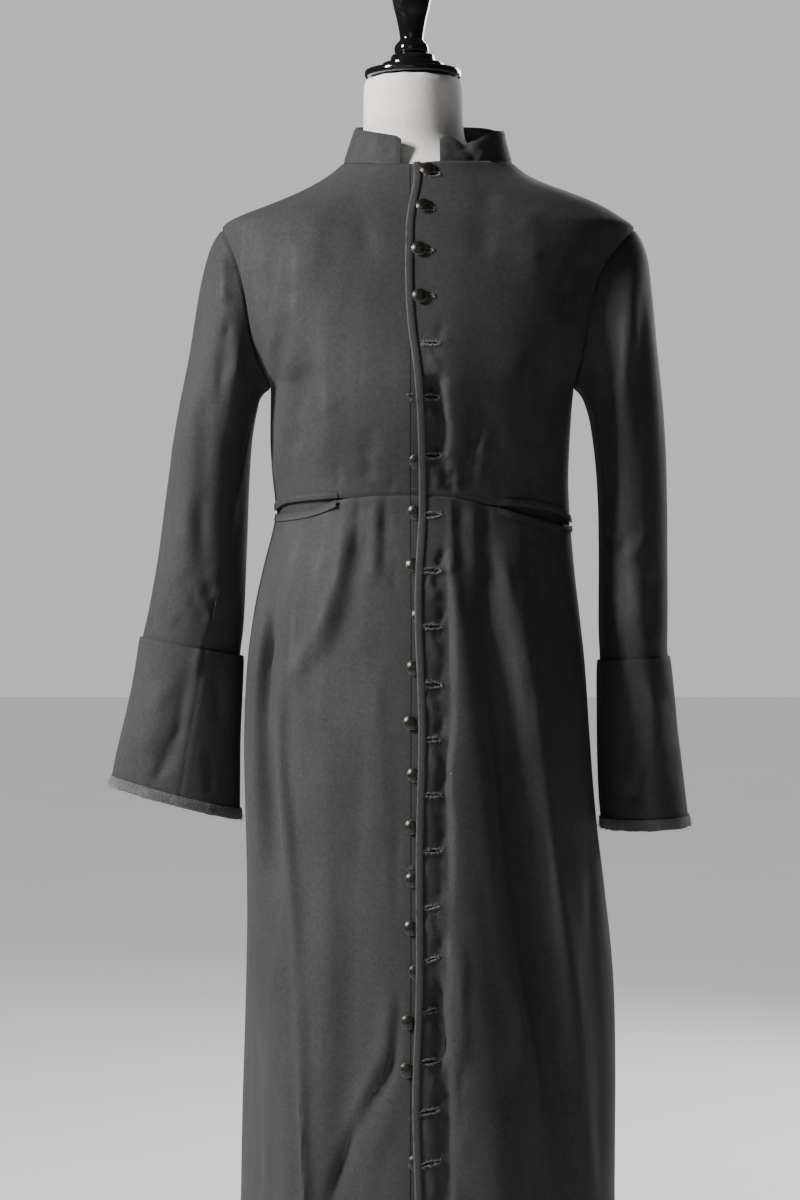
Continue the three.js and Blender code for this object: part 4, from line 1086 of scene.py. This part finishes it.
# ---------------------------------------------------------------- two-piece sleeves
# Each sleeve has a wide top piece and a narrow under piece, joined by a forearm seam and a
# hind-arm seam, and set into the armhole. They hang with nothing in them.
SLEEVE_CREASES = {
    ("right", "top", "front"): [
        ([(-222, 1452), (-222, 1424), (-220, 1390)], 7, 6, 3.0),
        ([(-203, 1370), (-208, 1323), (-212, 1285), (-214, 1244)], 7, 9, 3.5),
        ([(-214, 1384), (-222, 1330), (-226, 1280)], 7, 8, -2.7),
        ([(-256, 1330), (-260, 1226), (-262, 1140), (-262, 1070)], 12, 15, 3.2),
        ([(-238, 1330), (-243, 1250), (-246, 1160), (-244, 1090)], 11, 12, -3.0),
        ([(-284, 1240), (-290, 1160), (-292, 1080)], 8, 10, -2.4),
        ([(-246, 1096), (-232, 1068), (-218, 1052), (-206, 1044)], 6, 6, -3.0),
        ([(-238, 1112), (-224, 1084), (-210, 1066)], 7, 6, 2.4),
        ([(-270, 1104), (-252, 1072), (-238, 1050)], 7, 8, -2.2),
        ([(-300, 1086), (-286, 1064), (-270, 1050)], 6, 8, 1.8),
    ],
    ("right", "top", "back"): [
        ([(230, 1440), (238, 1380), (246, 1310), (252, 1230)], 11, 13, 3.0),
        ([(214, 1360), (222, 1290), (230, 1220)], 8, 9, -3.0),
        ([(262, 1300), (270, 1220), (278, 1130)], 9, 11, -2.7),
        ([(240, 1190), (258, 1160), (276, 1146)], 7, 8, -2.9),
        ([(236, 1164), (254, 1134), (274, 1120)], 8, 8, 2.7),
        ([(248, 1096), (266, 1070), (288, 1058)], 7, 8, -2.2),
    ],
    ("right", "under", "front"): [
        ([(-201, 1206), (-206, 1160), (-214, 1116)], 6, 7, -2.2),
        ([(-206, 1104), (-214, 1078), (-226, 1054)], 5, 6, 2.1),
    ],
    ("right", "under", "back"): [
        ([(200, 1240), (204, 1180), (210, 1120)], 8, 9, -2.6),
    ],
    ("left", "top", "front"): [
        ([(229, 1460), (220, 1410), (213, 1345), (209, 1291), (209, 1226), (214, 1150),
          (224, 1080), (228, 1026)], 15, 8, 3.8),
        ([(240, 1440), (232, 1380), (228, 1300), (230, 1220)], 9, 10, -3.0),
        ([(194, 1340), (192, 1290), (196, 1240)], 6, 8, -2.4),
        ([(203, 1222), (201, 1196), (197, 1168)], 5, 5, -3.2),
        ([(232, 1158), (220, 1146), (206, 1134), (194, 1128)], 6, 6, -3.4),
        ([(236, 1140), (222, 1126), (206, 1118)], 6, 7, 2.7),
        ([(197, 1146), (191, 1133), (186, 1122)], 4, 5, -2.6),
        ([(246, 1110), (242, 1070), (244, 1030)], 8, 9, -2.4),
        ([(200, 1090), (206, 1056), (204, 1024)], 7, 8, 1.9),
    ],
    ("left", "top", "back"): [
        ([(-232, 1440), (-226, 1370), (-222, 1290), (-226, 1210)], 11, 12, 3.2),
        ([(-206, 1330), (-204, 1260), (-208, 1190)], 8, 9, -2.9),
        ([(-246, 1340), (-242, 1250), (-244, 1160)], 8, 10, -2.7),
        ([(-212, 1176), (-228, 1152), (-246, 1142)], 7, 8, -2.9),
        ([(-206, 1148), (-224, 1124), (-244, 1112)], 7, 8, 2.6),
    ],
    ("left", "under", "back"): [
        ([(-194, 1250), (-196, 1180), (-194, 1110)], 8, 9, -2.4),
    ],
}
sleeve_flat = {
    ("right", "top"): ((0.39, 0.483), 0.1046), ("right", "under"): ((0.126, 0.367), 0.0355),
    ("left", "top"): ((0.405, 0.493), 0.1106), ("left", "under"): ((0.120, 0.379), 0.0348),
}
for (side, part), (flat, area) in sleeve_flat.items():
    node = f"sleeve_{side}_{part}"
    piece = cut_sheet(f"twill_{node}", outer_cells(node, 12 if part == "top" else 4, 12))
    sunk_seams(piece, "start", "end", depth=1.5, reach=5)
    sunk_seams(piece, "top", depth=2.4, reach=5, allowance=2.6)
    creases = {view: SLEEVE_CREASES.get((side, part, view), []) for view in ("front", "back")}
    carriers = [f"twill_sleeve_{side}_top"]
    if part == "top":
        carriers = [f"twill_front_{side}", f"twill_back_{side}"]
    hung(piece, creases, node, flat, area, *carriers, ripple=0.5)

# ---------------------------------------------------------------- turned-back cuffs
# Deep cuffs of double twill, two pieces to each, held at the top by two rows of stitches.
CUFF_CREASES = {
    ("right", "top", "front"): [
        ([(-246, 1034), (-250, 1012), (-254, 990)], 5, 6, 2.4),
        ([(-268, 946), (-274, 930), (-287, 900), (-303, 868)], 9, 7, -3.2),
        ([(-288, 990), (-300, 940), (-312, 900)], 13, 14, 2.9),
        ([(-258, 1010), (-268, 962), (-272, 920)], 8, 9, -2.2),
        ([(-240, 930), (-246, 892), (-252, 860)], 8, 10, 2.4),
    ],
    ("right", "under", "front"): [
        ([(-231, 1000), (-230, 970), (-229, 938)], 5, 5, -2.6),
        ([(-216, 1010), (-218, 960), (-222, 900)], 6, 7, 2.2),
        ([(-240, 914), (-238, 884), (-240, 856)], 5, 6, -1.9),
    ],
    ("right", "top", "back"): [
        ([(272, 1010), (284, 950), (296, 890)], 12, 12, 2.9),
        ([(250, 980), (258, 930), (262, 880)], 9, 9, -2.9),
    ],
    ("left", "top", "front"): [
        ([(239, 905), (228, 880), (212, 850)], 7, 6, -3.2),
        ([(232, 1000), (242, 962), (244, 930), (236, 904)], 10, 8, 3.0),
        ([(212, 990), (214, 930), (208, 880)], 8, 9, -2.1),
        ([(262, 980), (266, 920), (268, 866)], 9, 10, -2.2),
    ],
    ("left", "top", "back"): [
        ([(-236, 1000), (-240, 940), (-246, 870)], 11, 12, 2.7),
        ([(-216, 980), (-218, 920), (-216, 870)], 8, 9, -2.6),
    ],
}
cuff_flat = {
    ("right", "top"): ((0.244, 0.178), 0.0403), ("right", "under"): ((0.154, 0.181), 0.0253),
    ("left", "top"): ((0.270, 0.187), 0.0473), ("left", "under"): ((0.121, 0.185), 0.0216),
}
for (side, part), (flat, area) in cuff_flat.items():
    node = f"cuff_{side}_{part}"
    piece = cut_sheet(f"twill_{node}", outer_cells(node, 12 if part == "top" else 8, 4))
    sunk_seams(piece, "start", "end", depth=1.2, reach=4)
    turned_in = (1 - step_up(from_edge(piece, "top") / 2.6)) * 0.6
    pressed = bulge(from_edge(piece, "top"), 8.0, 2.2, 0.5)
    pushed_out(piece, -(turned_in + pressed))
    creases = {view: CUFF_CREASES.get((side, part, view), []) for view in ("front", "back")}
    hung(piece, creases, node, flat, area, f"twill_sleeve_{side}_{part}", ripple=0.5)
    for row, distance in (("first", 6.4), ("second", 9.6)):
        stitch_row(f"{node}_stitches_{row}", line_on(piece.name, "top", distance), 2.2, 0.8, 0.22)

# ---------------------------------------------------------------- braid at the cuff hems
# A flat woollen braid folded over each hem. It is greyer than the twill, worn and fuzzy,
# with loose hairs all along it and a few ends that have come away.
braid_wool, tree, shader = new_material("worn_grey_braid")
cut = add_node(tree, "UVMap", uv_map="cut").outputs["UV"]
plait = add_node(tree, "TexWave", Vector=cut, Scale=120.0, Distortion=3.0, Detail=3.0).outputs["Fac"]
fluff = texture(tree, "Noise", Scale=700.0, Detail=5.0, Roughness=0.75)
worn_away = texture(tree, "Noise", Scale=70.0, Detail=5.0, Roughness=0.7)
grey = mixed(tree, ramp(tree, fluff, 0.3, 0.7), (0.05, 0.05, 0.051), (0.12, 0.118, 0.114))
pale = times(tree, ramp(tree, worn_away, 0.5, 0.68), 0.6)
grey = mixed(tree, pale, grey, (0.17, 0.166, 0.158))
grey = mixed(tree, times(tree, plait, 0.1), grey, (0.015, 0.015, 0.015))
put_in(tree, shader, {"Base Color": grey, "Roughness": 0.92, "Sheen Weight": 0.4})
raised(tree, shader, plus(tree, times(tree, plait, 0.3), times(tree, fluff, 2.0)), 0.8, 0.0005)
grey_fluff = thread_material("grey_wool_fluff", (0.06, 0.058, 0.055), (0.2, 0.195, 0.185), 900.0, 0.8)


def ring_cells(node):
    """The outer face of a closed band, as two rows of points from the bottom up."""
    shape = merged_shape(node)
    rims = rim_of(smooth_patches(shape, 40)[0])
    loops, left = [], set(rims)
    while left:
        loop = [left.pop()]
        while True:
            onward = [v for v in rims[loop[-1]] if v in left]
            if not onward:
                break
            loop.append(onward[0])
            left.discard(onward[0])
        loops.append(np.array([v.co for v in loop]))
    low, high = sorted(loops, key=lambda loop: loop[:, 2].mean())
    middle = (low.mean(axis=0) + high.mean(axis=0)) / 2

    def round_order(loop):
        angle = np.unwrap(np.arctan2(loop[:, 1] - middle[1], loop[:, 0] - middle[0]))
        if angle[-1] < angle[0]:
            loop = loop[::-1]
        return np.roll(loop, -int(np.argmax(loop[:, 1])), axis=0)

    low, high = round_order(low), round_order(high)
    shape.free()
    return np.array([np.vstack([low, low[:1]]), np.vstack([high, high[:1]])])


def threads(name, paths, radius, material, slot):
    """Fine three-sided threads along paths of points in metres, all in one piece."""
    verts, faces = [], []
    for path in paths:
        path = [Vector(point) for point in path]
        first = len(verts)
        for k, point in enumerate(path):
            ahead = path[min(k + 1, len(path) - 1)] - path[max(k - 1, 0)]
            side = ahead.orthogonal().normalized()
            up = ahead.cross(side).normalized()
            thin = radius * (0.45 if k in (0, len(path) - 1) else 1) / 1000
            for corner in range(3):
                turn = 2 * math.pi * corner / 3
                verts.append(point + (side * math.cos(turn) + up * math.sin(turn)) * thin)
        for k in range(len(path) - 1):
            a, b = first + 3 * k, first + 3 * k + 3
            for corner in range(3):
                after = (corner + 1) % 3
                faces.append((a + corner, a + after, b + after, b + corner))
        faces.append((first, first + 2, first + 1))
        end = first + 3 * (len(path) - 1)
        faces.append((end, end + 1, end + 2))
    finished(smooth_piece(name, verts, faces), material, slot)


def loose_hairs(lie, count, seed, long=(2.0, 5.5), lift=0.7):
    """Short hairs that start on a sheet and stand out from it in all directions."""
    chance = random.Random(seed)
    paths = []
    rows, columns = lie.shape[:2]
    for _ in range(count):
        j, i = chance.randrange(rows), chance.randrange(columns)
        point, normal = Vector(lie[j, i, :3]), Vector(lie[j, i, 3:])
        stray = Vector((chance.gauss(0, 1), chance.gauss(0, 1), chance.gauss(-0.2, 1)))
        way = normal * lift + stray * 0.6
        way.normalize()
        bend = Vector((chance.gauss(0, 1), chance.gauss(0, 1), chance.gauss(0, 1))) * 0.5
        length = chance.uniform(*long) / 1000
        path = [point - normal * 0.0003]
        for step in range(1, 4):
            way = (way + bend * 0.45).normalized()
            path.append(path[-1] + way * length / 3)
        paths.append(path)
    return paths


for side in ("right", "left"):
    band = cut_sheet(f"{side}_cuff_hem_braid", ring_cells(f"cuff_{side}_braid"), 4)
    share = share_of(band)
    points = points_of(band)
    worn = np.array([
        noise_at(x * 90, y * 90, z * 90) + 0.5 * noise_at(x * 240, y * 240, z * 240)
        for x, y, z in points
    ])
    puff = np.sin(share[:, 1] * math.pi) * 0.7 + worn * 0.5
    sag = (1 - share[:, 1]) * worn * 0.9 / 1000
    points = points + normals_of(band) * (puff / 1000)[:, None]
    points[:, 2] -= sag
    move_points(band, points)
    thick(band, 1.2)
    finished(band, braid_wool, "cuff_braid", f"cuff_{side}_braid")
    lie = laid[band.name]
    paths = loose_hairs(lie[: len(lie) // 2], 420, f"{side} fluff")
    paths += loose_hairs(lie, 200, side, (1.5, 3), 0.4)
    threads(f"{side}_cuff_hem_fluff", paths, 0.1, grey_fluff, "cuff_braid")

# ---------------------------------------------------------------- domed buttons
# Stamped metal buttons with a turned rim and a low dome, each on a short foot, which lean
# a little. They were lacquered dark brown, and the rims have worn down to the metal.
BUTTON = [(0, 0.1), (2.6, 0.1), (3.4, 0.4), (5.2, 0.9), (7.0, 1.3), (7.7, 1.6), (8.0, 2.1),
          (7.9, 2.6), (7.4, 2.95), (6.9, 2.9), (6.4, 3.15), (5.2, 3.75), (3.7, 4.25), (2.0, 4.52),
          (0, 4.6)]
bronze, tree, shader = new_material("dark_bronze_lacquer")
rim = add_node(tree, "Attribute", attribute_name="rim_wear").outputs["Fac"]
tarnish = texture(tree, "Noise", Scale=420.0, Detail=5.0, Roughness=0.65)
handled = texture(tree, "Noise", Scale=1500.0, Detail=3.0)
brown = mixed(tree, ramp(tree, tarnish, 0.32, 0.68), (0.042, 0.038, 0.031), (0.066, 0.06, 0.05))
bare = times(tree, rim, ramp(tree, handled, 0.35, 0.6))
put_in(tree, shader, {"Base Color": mixed(tree, bare, brown, (0.25, 0.235, 0.205)), "Metallic": 0.85,
                      "Roughness": ramp(tree, tarnish, 0.3, 0.75, 0.27, 0.36)})
raised(tree, shader, handled, 0.1, 0.0001)

pattern = turned("button_pattern", curve_through(BUTTON, 2), (0, 0, 0), 28)
wear = pattern.data.attributes.new("rim_wear", "FLOAT", "POINT")
for vert in pattern.data.vertices:
    radius = math.hypot(vert.co.x, vert.co.y) * 1000
    wear.data[vert.index].value = max(0.0, 1 - abs(radius - 7.6) / 0.9)


def seat_of(node):
    """Where a button sits: the middle of its underside and the way it faces."""
    points = np.array([vert.co for vert in nodes[node].data.vertices])
    points = np.unique(np.round(points, 6), axis=0)
    middle = points.mean(axis=0)
    _, _, ways = np.linalg.svd(points - middle)
    out = ways[2] * (1 if ways[2][1] < 0 else -1)
    depth = (points - middle) @ out
    return Vector(middle + out * depth.min()), Vector(out)


chance = random.Random("buttons")
button_nodes = sorted(name for name in nodes if name.startswith("button_"))
for node in button_nodes:
    seat, out = seat_of(node)
    lean = 0.03 if node <= "button_04" else 0.07
    out = (out + Vector((chance.uniform(-lean, lean), 0, chance.uniform(-lean, lean)))).normalized()
    piece = placed(f"domed_{node}", pattern.data.copy())
    piece.data.transform(out.to_track_quat("Z", "Y").to_matrix().to_4x4())
    piece.data.transform(Matrix.Translation(seat))
    finished(piece, bronze, "button_metal", node)
bpy.data.objects.remove(pattern)

# ---------------------------------------------------------------- buttonholes
# Worked by hand in grey silk that was once black: a close edge of loops round a slit, now
# frayed, with ends that stick out. They start just inside the edge strip.
silk = thread_material("frayed_grey_silk", (0.03, 0.03, 0.029), (0.25, 0.245, 0.235), 1800.0, 0.5)
# the slit is a near black sheet of painted shadow for the shade inside the opening, in blotches
slit_shadow, tree, shader = new_material("slit_in_the_cloth")
shadow_blotches = texture(tree, "Noise", Scale=600.0, Detail=3.0)
put_in(tree, shader, {"Base Color": mixed(tree, shadow_blotches, (0.002, 0.002, 0.002), (0.008, 0.008, 0.008)),
                      "Roughness": 0.95})


def surface_of(*pieces):
    shape = bmesh.new()
    for piece in pieces:
        shape.from_mesh(piece.data)
    surface = BVHTree.FromBMesh(shape)
    shape.free()
    return surface


lap_surface = surface_of(lap, skirts["front_left"])
under_surface = surface_of(under, skirts["front_right"])


def on_cloth(surface, x, z, lift):
    """The point that lies so far in front of the cloth at a place seen from the front, in mm."""
    in_front, near_the_coat = -0.6, -0.16
    hit, normal, _, _ = surface.ray_cast(Vector((x / 1000, in_front, z / 1000)), Vector((0, 1, 0)))
    if hit is None:
        hit, normal, _, _ = surface.find_nearest(Vector((x / 1000, near_the_coat, z / 1000)))
    return hit + normal * (lift / 1000)


bpy.ops.object.select_all(action="DESELECT")
bpy.ops.mesh.primitive_torus_add(
    major_radius=0.01, minor_radius=0.0012, major_segments=56, minor_segments=8
)
loop_pattern = bpy.context.object
loop_pattern.name = "worked_loop_pattern"
bpy.ops.object.mode_set(mode="EDIT")
bpy.ops.mesh.select_all(action="SELECT")
bpy.ops.mesh.normals_make_consistent(inside=False)
bpy.ops.object.mode_set(mode="OBJECT")
loop_points = points_of(loop_pattern) * 1000
loop_faces = [tuple(face.vertices) for face in loop_pattern.data.polygons]
bpy.data.objects.remove(loop_pattern)


def silk_loop(worked, half, gape, shift):
    """The close edge of loops round a slit: the pattern drawn out to its length and opening."""
    for px, py, pz in loop_points:
        ring = math.atan2(py, px)
        c, s = math.cos(ring), math.sin(ring)
        thick_here = 1 + 0.45 * noise_at(c * 3 + shift, s * 3, 0)
        ripple = 1 + 0.22 * math.sin(ring * 46 + shift)
        out = math.hypot(px, py) - 10
        rx = (half - 0.6 + 0.6 * out * thick_here * ripple) * c + 1.1 * noise_at(c * 2, s * 2, shift)
        ry = (gape * 0.8 + 0.6 * out * thick_here * ripple) * s + 1.5 * noise_at(c * 3, s * 3, shift + 9)
        yield worked(rx, ry, 0.3 + pz * thick_here * 0.5)


def slit(worked, half, gape, chance, steps=24):
    """Pairs of points along both lips of the slit, for the sheet of painted shadow between them."""
    for k in range(steps + 1):
        t = -1 + 2 * k / steps
        wide = gape * 0.7 * math.sqrt(max(0.0, 1 - t * t)) * (0.6 + 0.5 * chance.random()) + 0.02
        yield worked(t * (half - 0.4), wide, 0.12)
        yield worked(t * (half - 0.4), -wide, 0.12)


def frayed_ends(worked, half, gape, shift, chance):
    """Loops of the edge that have come away in patches, then ends that wander off."""
    paths = []
    for k in range(72):
        ring = 2 * math.pi * (k + chance.uniform(-0.4, 0.4)) / 72
        if noise_at(math.cos(ring) * 2.5, math.sin(ring) * 2.5, shift) > 0.22:
            continue
        a, b = (half - 1.2) * math.cos(ring), gape * 0.45 * math.sin(ring)
        way = math.atan2(math.sin(ring), math.cos(ring) * 0.3) + chance.uniform(-0.45, 0.45)
        reach = chance.uniform(1.8, 3.9)
        paths.append([
            worked(a + math.cos(way) * reach * share, b + math.sin(way) * reach * share, lift)
            for share, lift in ((0, 0.2), (0.4, 0.95), (0.8, 0.8), (1, 0.2))
        ])
    for _ in range(34):
        ring = chance.uniform(0, 2 * math.pi)
        a, b = half * math.cos(ring), gape * math.sin(ring)
        way, lift = chance.uniform(0, 2 * math.pi), chance.uniform(0.5, 1.3)
        length = chance.uniform(1.5, 4.6)
        path = []
        for step in range(4):
            path.append(worked(a, b, lift))
            way += chance.uniform(-0.7, 0.7)
            a += math.cos(way) * length / 3
            b += math.sin(way) * length / 3 * 0.75
            lift = max(0.4, lift + chance.uniform(-0.3, 0.45))
        paths.append(path)
    return paths


for number, (x, z, turn, half, gape) in enumerate(HOLES, 1):
    chance = random.Random(f"hole {number}")
    tilt = math.radians(turn)
    shift = chance.uniform(0, 100)

    def worked(a, b, lift, centre=(x, z), tilt=tilt):
        across = centre[0] + a * math.cos(tilt) - b * math.sin(tilt)
        up = centre[1] + a * math.sin(tilt) + b * math.cos(tilt)
        return on_cloth(lap_surface, across, up, lift)

    verts = list(silk_loop(worked, half, gape, shift))
    base_count = len(verts)
    verts += slit(worked, half, gape, chance)
    lips = [(a, a + 1, a + 3, a + 2) for a in range(base_count, len(verts) - 2, 2)]
    mesh = bpy.data.meshes.new(f"worked_buttonhole_{number:02d}")
    mesh.from_pydata(verts, [], loop_faces + lips)
    piece = placed(mesh.name, mesh)
    finished(piece, silk, "coat_cloth")
    mesh.materials.append(slit_shadow)
    for k, face in enumerate(mesh.polygons):
        face.material_index = 1 if k >= len(loop_faces) else 0
        face.use_smooth = True
    threads(f"frayed_ends_{number:02d}", frayed_ends(worked, half, gape, shift, chance), 0.16,
            silk, "coat_cloth")

# ---------------------------------------------------------------- loose threads
# Where a button has come off, the thread that held it is still there in a small tuft.
TUFTS = [(-20.5, 1292, 10, 6), (-19, 1287, 6, 4), (-20, 793, 12, 9), (-18.5, 786, 6, 5),
         (-19.5, 537, 8, 6), (9.5, 747, 5, 9), (-17.5, 1062, 7, 4)]
for number, (x, z, count, reach) in enumerate(TUFTS, 1):
    chance = random.Random(f"tuft {number}")
    paths = []
    for _ in range(count):
        a, b, way = x, z, chance.uniform(0, 2 * math.pi)
        lift, path = 0.2, []
        length = chance.uniform(0.5, 1.0) * reach
        for step in range(6):
            path.append(on_cloth(under_surface if x < 0 else lap_surface, a, b, lift))
            way += chance.uniform(-1.0, 1.0)
            a += math.cos(way) * length / 6
            b += math.sin(way) * length / 6
            a = min(a, -16.5) if x < 0 else a
            lift += chance.uniform(0.0, 0.6)
        paths.append(path)
    threads(f"loose_thread_{number:02d}", paths, 0.2, silk, "coat_cloth")
